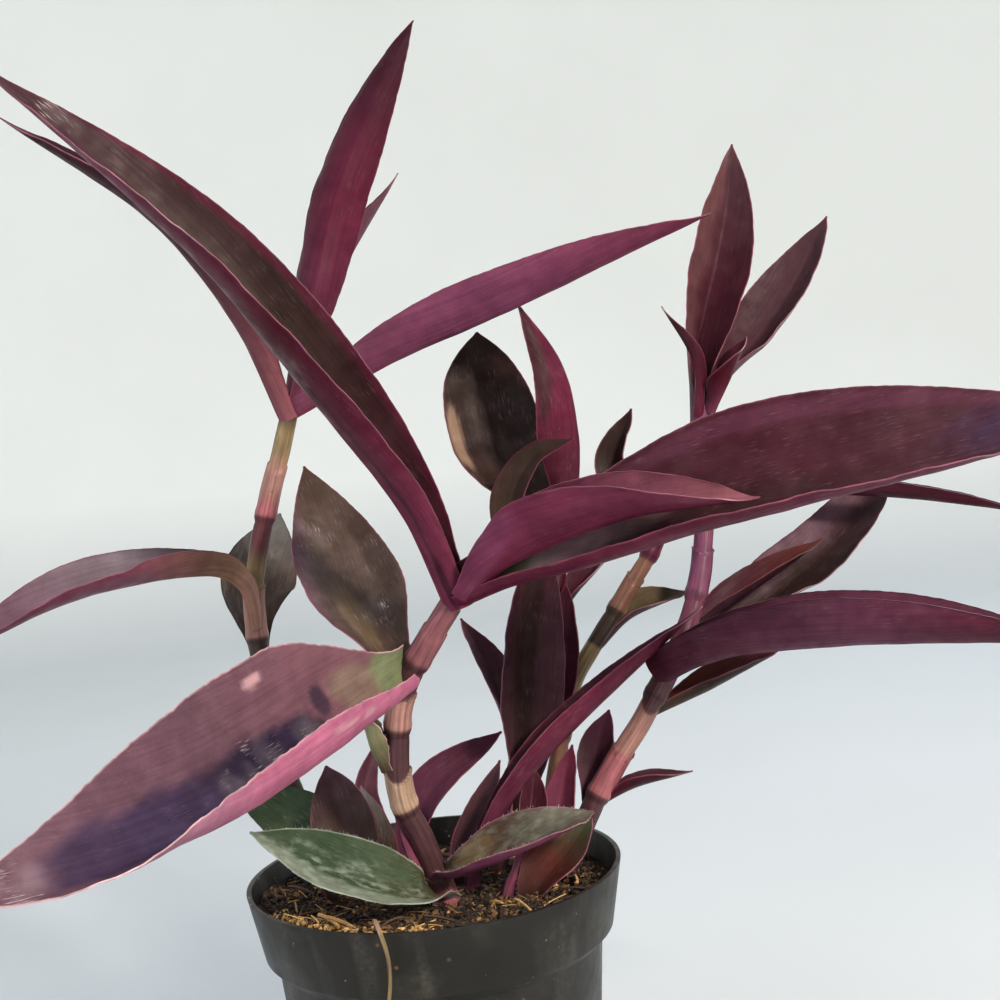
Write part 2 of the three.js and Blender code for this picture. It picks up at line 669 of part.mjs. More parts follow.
function bladeNormal(spec, curve, u, s) {
  const ahead = bladePoint(spec, curve, Math.min(u + NORMAL_STEP, 1), s);
  ahead.sub(bladePoint(spec, curve, Math.max(u - NORMAL_STEP, 0), s));
  const sideways = bladePoint(spec, curve, u, Math.min(s + NORMAL_STEP, 1));
  sideways.sub(bladePoint(spec, curve, u, Math.max(s - NORMAL_STEP, -1)));
  return sideways.cross(ahead).normalize();
}

// Closed sheet: upper and under faces split into the same triangles, joined round the edge
function leafSolid(spec, grow) {
  const curve = curveThrough(spec.route);
  const large = curve.getLength() > LARGE_LEAF;
  const stations = large ? LARGE_STATIONS : SMALL_STATIONS;
  const strips = large ? LARGE_STRIPS : SMALL_STRIPS;
  const thick = BLADE_THICKNESS / 2 + grow;
  const row = strips + 1;
  const layer = row * (stations + 1);
  const points = [];
  for (const offset of [thick, -thick]) {
    for (let i = 0; i <= stations; i += 1) {
      const u = i / stations;
      const past = i === 0 ? -grow : i === stations ? grow : 0;
      const tangent = curve.getTangentAt(u);
      const spread = 1 + grow / halfWidth(spec, u);
      for (let j = 0; j < row; j += 1) {
        const s = (2 * j) / strips - 1;
        const normal = bladeNormal(spec, curve, u, s);
        const point = bladePoint(spec, curve, u, s * spread);
        points.push(...point.addScaledVector(normal, offset).addScaledVector(tangent, past).toArray());
      }
    }
  }
  const faces = [];
  const quad = (a, b, c, d) => faces.push(a, b, c, a, c, d);
  for (let i = 0; i < stations; i += 1) {
    for (let j = 0; j < strips; j += 1) {
      const a = i * row + j;
      const b = a + 1;
      const c = b + row;
      const d = a + row;
      quad(a, b, c, d);
      faces.push(layer + a, layer + c, layer + b, layer + a, layer + d, layer + c);
    }
    const left = i * row;
    const right = left + strips;
    quad(left, left + row, layer + left + row, layer + left);
    quad(right, layer + right, layer + right + row, right + row);
  }
  for (let j = 0; j < strips; j += 1) {
    const tip = stations * row + j;
    quad(j, layer + j, layer + j + 1, j + 1);
    quad(tip, tip + 1, layer + tip + 1, layer + tip);
  }
  const geometry = new THREE.BufferGeometry();
  geometry.setAttribute("position", new THREE.Float32BufferAttribute(points, 3));
  geometry.setIndex(faces);
  return solidFrom(geometry);
}

// Assembly

const plant = new THREE.Group();

function place(name, solid, colour, roughness) {
  const material = new THREE.MeshStandardMaterial({ color: colour, roughness, metalness: 0 });
  const mesh = new THREE.Mesh(geometryFrom(solid), material);
  mesh.name = name;
  plant.add(mesh);
}

// Each leaf is cut clear of the stems and of the leaves before it, and the soil clear of them all
const stems = Object.entries(STEMS);
let room = stems.map(([, spec]) => stemSolid(spec, GAP)).reduce((all, solid) => all.add(solid));

for (const [name, spec] of Object.entries(LEAVES)) {
  place(name, largestBody(leafSolid(spec, 0).subtract(room)), spec.colour, LEAF_ROUGHNESS);
  room = room.add(leafSolid(spec, GAP));
}
for (const [name, spec] of stems) {
  place(name, stemSolid(spec, 0), spec.colour, STEM_ROUGHNESS);
}
place("soil", largestBody(soilSolid().subtract(room)), PEAT, SOIL_ROUGHNESS);
place("pot", potSolid(), CHARCOAL, POT_ROUGHNESS);

export default plant;
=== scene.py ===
"""Potted purple heart, dressed for rendering.

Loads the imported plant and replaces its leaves, stems, soil and pot with finer pieces of the same
form, each with its own finish, and adds hairs, sheath collars, crumbs, shreds and straws. The
tables hold millimetres, Blender metres; +Z is up and the origin is the centre of the pot's foot.
"""

from __future__ import annotations

import logging
import math
from collections.abc import Callable, Iterable
from dataclasses import dataclass
from enum import Enum

import bpy
import numpy as np
from bpy.types import Material, Node, NodeSocket, NodeTree, Object
from mathutils import Matrix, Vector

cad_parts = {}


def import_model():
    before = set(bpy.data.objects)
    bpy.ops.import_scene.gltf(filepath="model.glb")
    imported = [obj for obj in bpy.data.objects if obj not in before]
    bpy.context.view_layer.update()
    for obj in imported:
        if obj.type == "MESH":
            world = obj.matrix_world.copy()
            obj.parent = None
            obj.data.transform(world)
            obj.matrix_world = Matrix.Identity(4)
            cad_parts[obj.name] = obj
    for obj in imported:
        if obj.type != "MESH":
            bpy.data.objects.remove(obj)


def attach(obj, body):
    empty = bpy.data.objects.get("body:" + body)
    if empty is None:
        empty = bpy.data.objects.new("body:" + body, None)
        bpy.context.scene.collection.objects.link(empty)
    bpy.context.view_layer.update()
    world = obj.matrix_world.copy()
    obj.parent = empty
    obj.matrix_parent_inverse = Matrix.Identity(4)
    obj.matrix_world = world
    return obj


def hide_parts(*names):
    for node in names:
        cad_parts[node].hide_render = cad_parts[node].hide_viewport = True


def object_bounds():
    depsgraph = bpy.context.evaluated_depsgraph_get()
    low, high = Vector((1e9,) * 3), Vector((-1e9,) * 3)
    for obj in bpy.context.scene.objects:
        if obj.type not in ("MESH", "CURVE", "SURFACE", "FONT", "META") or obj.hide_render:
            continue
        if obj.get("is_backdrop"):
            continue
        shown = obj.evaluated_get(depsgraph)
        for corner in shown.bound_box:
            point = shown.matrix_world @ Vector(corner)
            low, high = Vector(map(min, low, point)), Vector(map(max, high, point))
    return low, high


LOG = logging.getLogger("potted_purple_heart")
MM = 0.001
Array = np.ndarray
Point = tuple[float, float, float]
Ring = tuple[float, float]
# Millimetres that leaves keep inside the plant's box.
KEEP_IN = 0.5
# Rates of the three waves that are added, and the sum of their sizes.
WAVE_RATES = (1.0, 2.3, 4.7)
WAVE_SUM = 1.65


class Tint(Enum):
    """Named colours of the living plant, as sRGB hex values, with a few that paint shade, sheen and light
    onto leaves.
    """

    BLUSH = "7a5059"
    MAUVE = "5c404b"
    HEATHER = "6e6068"
    LILAC = "8a7a88"
    PINK = "a05a74"
    PALE = "b48c90"
    ROSE = "6c3649"
    ORCHID = "6e3852"
    MAGENTA = "682a40"
    BERRY = "5a2e41"
    CLARET = "551a2f"
    CRIMSON = "450b1b"
    MAROON = "3d1722"
    WINE = "29101a"
    PLUM = "42292f"
    BRONZE = "50413a"
    UMBER = "3c2c24"
    COCOA = "2a1b18"
    RUST = "522620"
    OLIVE = "4a4029"
    MOSS = "36442f"
    SLATE = "5c5c5a"
    SILVER = "50584a"
    FROST = "8f9686"
    TAN = "7c7858"
    # Painted shadow: the dark violet laid where a leaf's own raised half shades it.
    VIOLET = "241b2e"
    # Painted shade and sheen: a dim violet-blue for shaded and sky-lit parts of a leaf.
    IRIS = "35273f"
    LIME = "6e7e56"
    FLESH = "743a4a"
    STUB = "9c5a60"
    CUP = "a58670"
    SHELL = "9c7066"
    RASPBERRY = "7c4a50"
    MAHOGANY = "5a2c30"
    BARK = "4a2c30"
    KHAKI = "86704e"
    SIENNA = "7a5444"
    # Painted light: the lit left half of a leaf's upper face.
    CLAY = "5e3c3e"


class Slot(Enum):
    """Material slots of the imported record."""

    PLUM_LEAF = "plum_leaf"
    MAGENTA_LEAF = "magenta_leaf"
    DARK_LEAF = "dark_leaf"
    GREY_GREEN_LEAF = "grey_green_leaf"
    GREEN_SHEATH = "green_sheath"
    PINK_STEM = "pink_stem"
    FIBRE = "fibre"
    PEAT = "peat"
    POT_PLASTIC = "pot_plastic"


class Face(Enum):
    """Side of a leaf that a mark shows on."""

    UPPER = "upper"
    UNDER = "under"


def linear(hex_colour: str) -> tuple[float, ...]:
    """Turn an sRGB hex colour to linear.

    Args:
        hex_colour: Six hexadecimal digits.

    Returns:
        Red, green, blue and alpha from 0 to 1.
    """
    channels = [int(hex_colour[i:i + 2], 16) / 255 for i in (0, 2, 4)]
    return tuple(c / 12.92 if c <= 0.04045 else ((c + 0.055) / 1.055) ** 2.4 for c in channels) + (1.0,)


def smooth(values: Array, low: float, high: float) -> Array:
    """Ease from 0 at low to 1 at high.

    Args:
        values: Numbers to ease.
        low: Value that gives 0.
        high: Value that gives 1, which may be below low.

    Returns:
        Numbers from 0 to 1.
    """
    share = np.clip((values - low) / (high - low), 0, 1)
    return share * share * (3 - 2 * share)


def along(entries: tuple, share: Array) -> Array:
    """Read a list of evenly spaced entries at shares of its length.

    Args:
        entries: Numbers or points.
        share: Shares from 0 to 1.

    Returns:
        One number or point for each share.
    """
    rows = np.asarray(entries, float)
    place = np.asarray(share) * (len(rows) - 1)
    index = np.minimum(np.floor(place).astype(int), len(rows) - 2)
    rest = place - index
    if rows.ndim == 2:
        rest = rest[:, None]
    return rows[index] * (1 - rest) + rows[index + 1] * rest


def stained(colours: Array, tint: Tint, share: Array) -> Array:
    """Lay a tint over colours.

    Args:
        colours: One colour in each row.
        tint: Tint on top.
        share: How much of it shows in each row, as a column.

    Returns:
        The new colours.
    """
    return colours + (np.array(linear(tint.value)) - colours) * share


def unit(vectors: Array) -> Array:
    """Scale each row to length one."""
    return vectors / np.maximum(np.linalg.norm(vectors, axis=-1, keepdims=True), 1e-9)


def waves(place: Array, length: float, seed: int) -> Array:
    """Add three uneven waves, for edges and surfaces that are never quite straight.

    Args:
        place: Distances in millimetres.
        length: Longest wave in millimetres.
        seed: Number that sets the phases.

    Returns:
        Numbers between about -1 and 1.
    """
    phases = np.random.default_rng(seed).uniform(0, 2 * math.pi, 3)
    total = sum(np.sin(place * 2 * math.pi * k / length + phase) / k
                for k, phase in zip(WAVE_RATES, phases))
    return total / WAVE_SUM


class Route:
    """Smooth curve through points, measured along its length, as in the part's source."""

    DIVISIONS = 200
    STEP = 1e-4

    def __init__(self, points: tuple[Point, ...]) -> None:
        """Measure the curve.

        Args:
            points: Points that the curve passes through, in millimetres.
        """
        self.points = np.asarray(points, float)
        self.places = np.linspace(0, 1, self.DIVISIONS + 1)
        steps = np.linalg.norm(np.diff(self.raw(self.places), axis=0), axis=1)
        self.lengths = np.concatenate([[0], np.cumsum(steps)])

    @property
    def length(self) -> float:
        """Length of the curve in millimetres."""
        return float(self.lengths[-1])

    def raw(self, place: Array) -> Array:
        """Give points at even places between the route's points.

        Args:
            place: Places from 0 to 1.

        Returns:
            One point for each place.
        """
        count = len(self.points)
        spread = np.clip(place, 0, 1) * (count - 1)
        index = np.minimum(np.floor(spread).astype(int), count - 2)
        rest = (spread - index)[:, None]
        ends = np.vstack([2 * self.points[0] - self.points[1], self.points,
                          2 * self.points[-1] - self.points[-2]])
        before, start, stop, after = (ends[index + k] for k in range(4))
        leave, arrive = (stop - before) / 2, (after - start) / 2
        cubic = 2 * start - 2 * stop + leave + arrive
        square = -3 * start + 3 * stop - 2 * leave - arrive
        return start + leave * rest + square * rest ** 2 + cubic * rest ** 3

    def at(self, share: Array) -> Array:
        """Give points at shares of the length.

        Args:
            share: Shares from 0 to 1.

        Returns:
            One point for each share.
        """
        return self.raw(np.interp(np.asarray(share) * self.length, self.lengths, self.places))

    def tangent(self, share: Array) -> Array:
        """Give directions at shares of the length.

        Args:
            share: Shares from 0 to 1.

        Returns:
            One unit vector for each share.
        """
        place = np.interp(np.asarray(share) * self.length, self.lengths, self.places)
        ahead = self.raw(np.minimum(place + self.STEP, 1))
        return unit(ahead - self.raw(np.maximum(place - self.STEP, 0)))


@dataclass(frozen=True)
class Mark:
    """Soft patch on a leaf: its middle as shares along and across, its size in mm, tint and strength."""

    u: float
    s: float
    long: float
    wide: float
    tint: Tint
    strength: float = 0.8
    face: Face = Face.UPPER


@dataclass(frozen=True)
class Look:
    """Colours of a leaf from base to tip, how worn, silvery and hairy it is, and where it is scuffed.

    A scuffed place is a share along, a share across and a radius in millimetres. Left is painted light.
    """

    upper: tuple[Tint, ...]
    under: tuple[Tint, ...] = (Tint.MAUVE,) * 3
    dust: float = 0.05
    ragged: float = 0.12
    # Painted light: tint laid over the left half of the upper face, lighter where light falls on that side.
    left: Tint | None = None
    edge: Tint = Tint.FLESH
    hairy: float = 0.0
    silver: float = 0.0
    scuffed: tuple[Point, ...] = ()


@dataclass(frozen=True)
class Blade:
    """Form of a leaf, with the same sizes and the same rule as in the part's source."""

    width: float
    widest: float
    base: float
    facing: tuple[Point, ...]
    route: tuple[Point, ...]
    fold: tuple[float, ...] = ()
    left: tuple[float, ...] = ()
    right: tuple[float, ...] = ()
    keel: float = 0.0
    blunt: float = 2.0

    CREASE_SHARE = 0.35
    LEAST_CURL = 0.01
    NARROW_HALF = 4
    TIP_HALF = 0.3
    STEP = 0.01

    def half_width(self, u: Array) -> Array:
        """Give half the width when laid flat.

        Args:
            u: Shares of the length from base to tip.

        Returns:
            Half widths in millimetres.
        """
        half = self.width / 2
        lower = half * (self.base + (1 - self.base) * smooth(u, 0, self.widest))
        past = np.maximum(u - self.widest, 0) / (1 - self.widest)
        return np.where(u < self.widest, lower, np.maximum(half * (1 - past ** self.blunt), self.TIP_HALF))

    def surface(self, curve: Route, u: Array, s: Array) -> Array:
        """Give points of the blade's middle layer.

        Args:
            curve: Route of the fold.
            u: Shares from base to tip.
            s: Places across, from -1 at the left margin to 1 at the right one.

        Returns:
            Points in millimetres.
        """
        tangent = curve.tangent(u)
        facing = along(self.facing, u)
        facing = unit(facing - np.sum(facing * tangent, axis=1, keepdims=True) * tangent)
        side = np.cross(tangent, facing)
        to_right = s > self.keel
        half = self.half_width(u)
        span = half * np.where(to_right, 1 - self.keel, 1 + self.keel)
        reach = half * np.abs(s - self.keel) / span
        right, left = along(self.right or self.fold, u), along(self.left or self.fold, u)
        slope = np.radians(np.where(to_right, right, left))
        slope = slope * np.minimum(1, half / self.NARROW_HALF)
        crease = slope * self.CREASE_SHARE
        curl = np.maximum(slope - crease, self.LEAST_CURL)
        across = span * (np.sin(crease + curl * reach) - np.sin(crease)) / curl
        rise = span * (np.cos(crease) - np.cos(crease + curl * reach)) / curl
        sideways = np.where(to_right, across, -across)[:, None] * side
        return curve.at(u) + sideways + rise[:, None] * facing

    def normals(self, curve: Route, u: Array, s: Array) -> Array:
        """Give directions straight out of the upper face.

        Args:
            curve: Route of the fold.
            u: Shares from base to tip.
            s: Places across from -1 to 1.

        Returns:
            Unit vectors.
        """
        step = self.STEP
        ahead = self.surface(curve, np.minimum(u + step, 1), s)
        ahead = ahead - self.surface(curve, np.maximum(u - step, 0), s)
        over = self.surface(curve, u, np.minimum(s + step, 1))
        over = over - self.surface(curve, u, np.maximum(s - step, -1))
        return unit(np.cross(over, ahead))


@dataclass(frozen=True)
class Band:
    """Stretch of a stem in one tint, from a share of its length on.

    It may start at a slanting sheath mouth, and soft is half the length of the change in millimetres.
    """

    start: float
    tint: Tint
    mouth: bool = False
    soft: float = 0.5


def add_node(tree: NodeTree, kind: str, settings: dict | None = None, inputs: dict | None = None) -> Node:
    """Add a shader node with its settings and links.

    Args:
        tree: Node tree of the material.
        kind: Type name of the node.
        settings: Values of the node's own properties.
        inputs: Numbers, or output sockets to link from, by input name or place.

    Returns:
        The new node.
    """
    node = tree.nodes.new(kind)
    for key, value in (settings or {}).items():
        setattr(node, key, value)
    for key, value in (inputs or {}).items():
        if isinstance(value, NodeSocket):
            tree.links.new(value, node.inputs[key])
        else:
            node.inputs[key].default_value = value
    return node


def grain(tree: NodeTree, vector: NodeSocket, size: float, low: float, high: float,
          stretch: Point = (1, 1, 1), contrast: float = 0.2) -> NodeSocket:
    """Make an uneven pattern of a real size that runs between two values.

    Args:
        tree: Node tree of the material.
        vector: Place on the surface in millimetres.
        size: Size of one patch in millimetres.
        low: Value of the dark patches.
        high: Value of the light patches.
        stretch: Share of the pattern's frequency along each axis.
        contrast: Half the spread of noise that is used.

    Returns:
        Socket with the value.
    """
    spacing = add_node(tree, "ShaderNodeMapping", None,
                       {"Vector": vector, "Scale": tuple(axis / size for axis in stretch)})
    noise = add_node(tree, "ShaderNodeTexNoise", None,
                     {"Vector": spacing.outputs["Vector"], "Scale": 1.0, "Detail": 2.0})
    spread = add_node(tree, "ShaderNodeMapRange", None,
                      {"Value": noise.outputs["Fac"], "From Min": 0.5 - contrast,
                       "From Max": 0.5 + contrast, "To Min": low, "To Max": high})
    return spread.outputs["Result"]


def specks(tree: NodeTree, vector: NodeSocket, spacing: float, radius: float) -> NodeSocket:
    """Make scattered round specks of a real size, some of them missing.

    Args:
        tree: Node tree of the material.
        vector: Place on the surface in millimetres.
        spacing: Distance between specks in millimetres.
        radius: Radius of a speck in millimetres.

    Returns:
        Socket that is 1 inside a speck.
    """
    cells = add_node(tree, "ShaderNodeTexVoronoi", None, {"Vector": vector, "Scale": 1 / spacing})
    inside = add_node(tree, "ShaderNodeMapRange", None,
                      {"Value": cells.outputs["Distance"], "From Min": radius / spacing,
                       "From Max": radius / spacing * 0.5, "To Min": 0.0, "To Max": 1.0})
    kept = grain(tree, vector, spacing * 3, 0.0, 1.0, contrast=0.12)
    both = add_node(tree, "ShaderNodeMath", {"operation": "MULTIPLY", "use_clamp": True},
                    {0: inside.outputs["Result"], 1: kept})
    return both.outputs["Value"]


def covered(tree: NodeTree, under: NodeSocket, over: NodeSocket | tuple,
            *patterns: NodeSocket) -> NodeSocket:
    """Lay another colour over a colour, where all of its patterns show.

    Args:
        tree: Node tree of the material.
        under: Colour below.
        over: Colour on top, as a socket or a constant.
        patterns: Patterns whose product, from 0 to 1, is how much of the top colour shows.

    Returns:
        Socket with the colour.
    """
    share = patterns[0]
    for pattern in patterns[1:]:
        both = add_node(tree, "ShaderNodeMath", {"operation": "MULTIPLY", "use_clamp": True},
                        {0: share, 1: pattern})
        share = both.outputs["Value"]
    blend = add_node(tree, "ShaderNodeMix", {"data_type": "RGBA"}, {"Factor": share, 6: under, 7: over})
    return blend.outputs[2]


def varied(tree: NodeTree, colour: NodeSocket, *factors: NodeSocket) -> NodeSocket:
    """Lighten and darken a colour by several patterns.

    Args:
        tree: Node tree of the material.
        colour: Colour to vary.
        factors: Patterns around one.

    Returns:
        Socket with the colour.
    """
    for factor in factors:
        scaled = add_node(tree, "ShaderNodeVectorMath", {"operation": "SCALE"}, {0: colour, "Scale": factor})
        colour = scaled.outputs["Vector"]
    return colour


def new_tree(name: str) -> tuple[Material, NodeTree]:
    """Start an empty material.

    Args:
        name: Name of the material.

    Returns:
        The material and its node tree.
    """
    material = bpy.data.materials.new(name)
    material.use_nodes = True
    material.node_tree.nodes.clear()
    return material, material.node_tree


def close_tree(tree: NodeTree, bumps: tuple[NodeSocket, float, float] | None = None,
               **inputs: object) -> None:
    """Add the bumps, the shader and the output of a material.

    Args:
        tree: Node tree of the material.
        bumps: Pattern, millimetres that one unit of it rises, and how far the light follows it.
        inputs: Shader inputs by name, with underscores for spaces.
    """
    sockets = {key.replace("_", " "): value for key, value in inputs.items()}
    if bumps:
        pattern, height, strength = bumps
        bump = add_node(tree, "ShaderNodeBump", None,
                        {"Height": pattern, "Distance": height * MM, "Strength": strength})
        sockets["Normal"] = bump.outputs["Normal"]
    shader = add_node(tree, "ShaderNodeBsdfPrincipled", None, sockets)
    add_node(tree, "ShaderNodeOutputMaterial", None, {"Surface": shader.outputs["BSDF"]})


def place_mm(tree: NodeTree) -> NodeSocket:
    """Give the place in the object's own coordinates, in millimetres.

    Args:
        tree: Node tree of the material.

    Returns:
        Socket with the place.
    """
    own = add_node(tree, "ShaderNodeTexCoord")
    scaled = add_node(tree, "ShaderNodeVectorMath", {"operation": "SCALE"},
                      {0: own.outputs["Object"], "Scale": 1 / MM})
    return scaled.outputs["Vector"]


@dataclass(frozen=True)
class LeafFinish:
    """Face of a fleshy purple heart leaf: fine ribs along it, a thin bloom and pale scratches.

    Ribs stand about 0.9 mm apart and the bloom gathers in patches of 8 mm. Scratches are 0.35 mm wide
    and a few millimetres long. The skin is softly glossy, more so in patches of 4 mm.
    """

    name: str
    tint: str
    rib: float
    roughness: float
    bloom: str = "cfc0c2"
    silver: str = "98a292"

    def material(self) -> Material:
        """Build the material.

        Returns:
            The new material.
        """
        material, tree = new_tree(self.name)
        read = {name: add_node(tree, "ShaderNodeAttribute", {"attribute_name": name}).outputs
                for name in (self.tint, "edge_tint", "blade_mm", "dust", "silver")}
        colour, edge = read[self.tint]["Color"], read["edge_tint"]["Color"]
        place, dust = read["blade_mm"]["Vector"], read["dust"]["Fac"]
        inward = add_node(tree, "ShaderNodeSeparateXYZ", None, {"Vector": place}).outputs["Z"]
        solid = place_mm(tree)
        ribs = grain(tree, place, 0.9, 0.0, 1.0, stretch=(1, 0.03, 0))
        rib_light = grain(tree, place, 0.9, 1 - self.rib, 1 + self.rib, stretch=(1, 0.03, 0))
        mottle = grain(tree, solid, 4.0, 0.91, 1.09)
        broad = grain(tree, solid, 16.0, 0.88, 1.12)
        skin = grain(tree, solid, 0.45, 0.94, 1.06)
        colour = varied(tree, colour, rib_light, mottle, broad, skin)
        bloom = grain(tree, solid, 8.0, -0.03, 0.1)
        scratches = grain(tree, place, 0.35, -1.7, 1.0, stretch=(1, 0.1, 0))
        rubbed = grain(tree, solid, 5.0, -0.5, 0.8)
        for patterns in ((bloom,), (scratches, rubbed), (specks(tree, place, 7.0, 0.25),)):
            colour = covered(tree, colour, linear(self.bloom), dust, *patterns)
        flecks = grain(tree, place, 1.8, -0.7, 1.1, stretch=(1, 0.5, 0))
        colour = covered(tree, colour, linear(self.silver), read["silver"]["Fac"], flecks)
        rim = add_node(tree, "ShaderNodeMapRange", None,
                       {"Value": inward, "From Min": 0.1, "From Max": 0.45, "To Min": 0.7, "To Max": 0.0})
        colour = covered(tree, colour, edge, rim.outputs["Result"])
        gloss = grain(tree, solid, 4.0, self.roughness + 0.1, self.roughness - 0.08)
        close_tree(tree, (ribs, 0.12, 0.35), Base_Color=colour, Roughness=gloss, Specular_IOR_Level=0.07)
        return material


@dataclass(frozen=True)
class MarginFinish:
    """Cut edge of a leaf: a thin rim in a pinker tint, slightly glossy."""

    name: str = "leaf_margin_pale_rim"

    def material(self) -> Material:
        """Build the material.

        Returns:
            The new material.
        """
        material, tree = new_tree(self.name)
        edge = add_node(tree, "ShaderNodeAttribute", {"attribute_name": "edge_tint"}).outputs["Color"]
        colour = varied(tree, edge, grain(tree, place_mm(tree), 1.5, 0.8, 1.25))
        close_tree(tree, Base_Color=colour, Roughness=0.45)
        return material


@dataclass(frozen=True)
class StemFinish:
    """Skin of a fleshy stem in its leaf sheaths: striations about 0.7 mm apart and small scars.

    The attribute stem_mm holds a place round the stem and along it, so the striations follow it.
    """

    name: str
    roughness: float = 0.42
    depth: float = 0.14

    def material(self) -> Material:
        """Build the material.

        Returns:
            The new material.
        """
        material, tree = new_tree(self.name)
        colour = add_node(tree, "ShaderNodeAttribute", {"attribute_name": "tint"}).outputs["Color"]
        place = add_node(tree, "ShaderNodeAttribute", {"attribute_name": "stem_mm"}).outputs["Vector"]
        lines = grain(tree, place, 0.7, 0.0, 1.0, stretch=(1, 1, 0.035))
        line_light = grain(tree, place, 0.7, 0.55, 1.22, stretch=(1, 1, 0.035))
        blotch = grain(tree, place, 3.5, 0.82, 1.18, stretch=(1, 1, 0.6))
        colour = varied(tree, colour, line_light, blotch)
        colour = covered(tree, colour, linear("3a1d18"), specks(tree, place, 4.0, 0.5))
        gloss = grain(tree, place, 3.5, self.roughness + 0.1, self.roughness - 0.06)
        close_tree(tree, (lines, self.depth, 0.5), Base_Color=colour, Roughness=gloss,
                   Specular_IOR_Level=0.25)
        return material


@dataclass(frozen=True)
class HairFinish:
    """Fine silvery hairs at a leaf's margins: thin, pale and slightly shiny."""

    name: str = "fine_plant_hair"

    def material(self) -> Material:
        """Build the material.

        Returns:
            The new material.
        """
        material, tree = new_tree(self.name)
        base = add_node(tree, "ShaderNodeRGB")
        base.outputs[0].default_value = linear("e4d8d4")
        colour = varied(tree, base.outputs[0], grain(tree, place_mm(tree), 1.2, 0.78, 1.15))
        close_tree(tree, Base_Color=colour, Roughness=0.4)
        return material


@dataclass(frozen=True)
class PotFinish:
    """Injection-moulded recycled polypropylene, charcoal, with a satin skin that has gone dusty.

    Flow marks run round it about 1.5 mm apart, dried water has left faint runs 7 mm wide and
    smudges of 16 mm, and limescale and grit sit on it as specks 0.35 and 0.7 mm in radius.
    """

    name: str = "polypropylene_charcoal_moulded"
    colour: str = "17140f"

    def material(self) -> Material:
        """Build the material.

        Returns:
            The new material.
        """
        material, tree = new_tree(self.name)
        base = add_node(tree, "ShaderNodeRGB")
        base.outputs[0].default_value = linear(self.colour)
        place = place_mm(tree)
        broad = grain(tree, place, 22.0, 0.8, 1.25)
        flow = grain(tree, place, 1.5, 0.93, 1.07, stretch=(0.2, 0.2, 1))
        colour = varied(tree, base.outputs[0], broad, flow)
        runs = grain(tree, place, 7.0, -0.25, 0.2, stretch=(1, 1, 0.16))
        film = grain(tree, place, 1.2, 0.25, 1.0)
        colour = covered(tree, colour, linear("6f6b62"), runs, film)
        smudges = grain(tree, place, 16.0, -0.15, 0.12)
        colour = covered(tree, colour, linear("847d6e"), smudges, film)
        colour = covered(tree, colour, linear("a39c8e"), specks(tree, place, 4.5, 0.35))
        colour = covered(tree, colour, linear("6a4f34"), specks(tree, place, 5.5, 0.7))
        gloss = grain(tree, place, 6.0, 0.5, 0.36)
        close_tree(tree, (flow, 0.06, 0.25), Base_Color=colour, Roughness=gloss, Specular_IOR_Level=0.3)
        return material


@dataclass(frozen=True)
class PeatFinish:
    """Damp coconut-fibre peat: dark brown, matt, in crumbs of about 1 mm with lighter specks."""

    name: str = "coconut_peat_damp"

    def material(self) -> Material:
        """Build the material.

        Returns:
            The new material.
        """
        material, tree = new_tree(self.name)
        base = add_node(tree, "ShaderNodeRGB")
        base.outputs[0].default_value = linear("2a1c13")
        place = place_mm(tree)
        crumbs = grain(tree, place, 1.0, 0.45, 1.5)
        patches = grain(tree, place, 7.0, 0.75, 1.25)
        colour = varied(tree, base.outputs[0], crumbs, patches)
        colour = covered(tree, colour, linear("8a6640"), specks(tree, place, 2.4, 0.5))
        height = grain(tree, place, 0.8, 0.0, 1.0)
        close_tree(tree, (height, 0.5, 0.8), Base_Color=colour, Roughness=0.95)
        return material


@dataclass(frozen=True)
class CrumbFinish:
    """Loose bits of coconut husk: matt, each bit in its own brown, straws slightly glossy."""

    name: str
    roughness: float

    def material(self) -> Material:
        """Build the material.

        Returns:
            The new material.
        """
        material, tree = new_tree(self.name)
        colour = add_node(tree, "ShaderNodeAttribute", {"attribute_name": "tint"}).outputs["Color"]
        place = place_mm(tree)
        colour = varied(tree, colour, grain(tree, place, 0.6, 0.7, 1.3))
        height = grain(tree, place, 0.4, 0.0, 1.0)
        close_tree(tree, (height, 0.15, 0.5), Base_Color=colour, Roughness=self.roughness)
        return material


@dataclass(frozen=True)
class StudioFinish:
    """Matt painted studio sweep, pale grey-white with the faintest unevenness."""

    name: str = "studio_sweep_matt_paint"

    def material(self) -> Material:
        """Build the material.

        Returns:
            The new material.
        """
        material, tree = new_tree(self.name)
        place = place_mm(tree)
        height = add_node(tree, "ShaderNodeSeparateXYZ", None, {"Vector": place}).outputs["Z"]
        floor = add_node(tree, "ShaderNodeRGB")
        floor.outputs[0].default_value = linear("ccd0d1")
        raised = add_node(tree, "ShaderNodeMapRange", None,
                          {"Value": height, "From Min": 0.0, "From Max": 160.0, "To Min": 0.0, "To Max": 1.0})
        colour = covered(tree, floor.outputs[0], linear("f0f1ed"), raised.outputs["Result"])
        colour = varied(tree, colour, grain(tree, place, 180.0, 0.985, 1.015))
        close_tree(tree, Base_Color=colour, Roughness=0.9, Specular_IOR_Level=0.1)
        return material


@dataclass
class Finishes:
    """All materials of the plant, built once."""

    upper: Material
    under: Material
    margin: Material
    stem: Material
    hair: Material
    pot: Material
    peat: Material
    crumb: Material
    straw: Material

    @classmethod
    def build(cls) -> Finishes:
        """Build every material.

        Returns:
            The materials.
        """
        return cls(
            upper=LeafFinish("purple_heart_leaf_upper", "upper_tint", rib=0.12, roughness=0.46).material(),
            under=LeafFinish("purple_heart_leaf_under", "under_tint", rib=0.16, roughness=0.4).material(),
            margin=MarginFinish().material(),
            stem=StemFinish("fleshy_stem_skin").material(),
            hair=HairFinish().material(),
            pot=PotFinish().material(),
            peat=PeatFinish().material(),
            crumb=CrumbFinish("coconut_husk_crumbs", 0.9).material(),
            straw=CrumbFinish("coconut_husk_straws", 0.7).material(),
        )


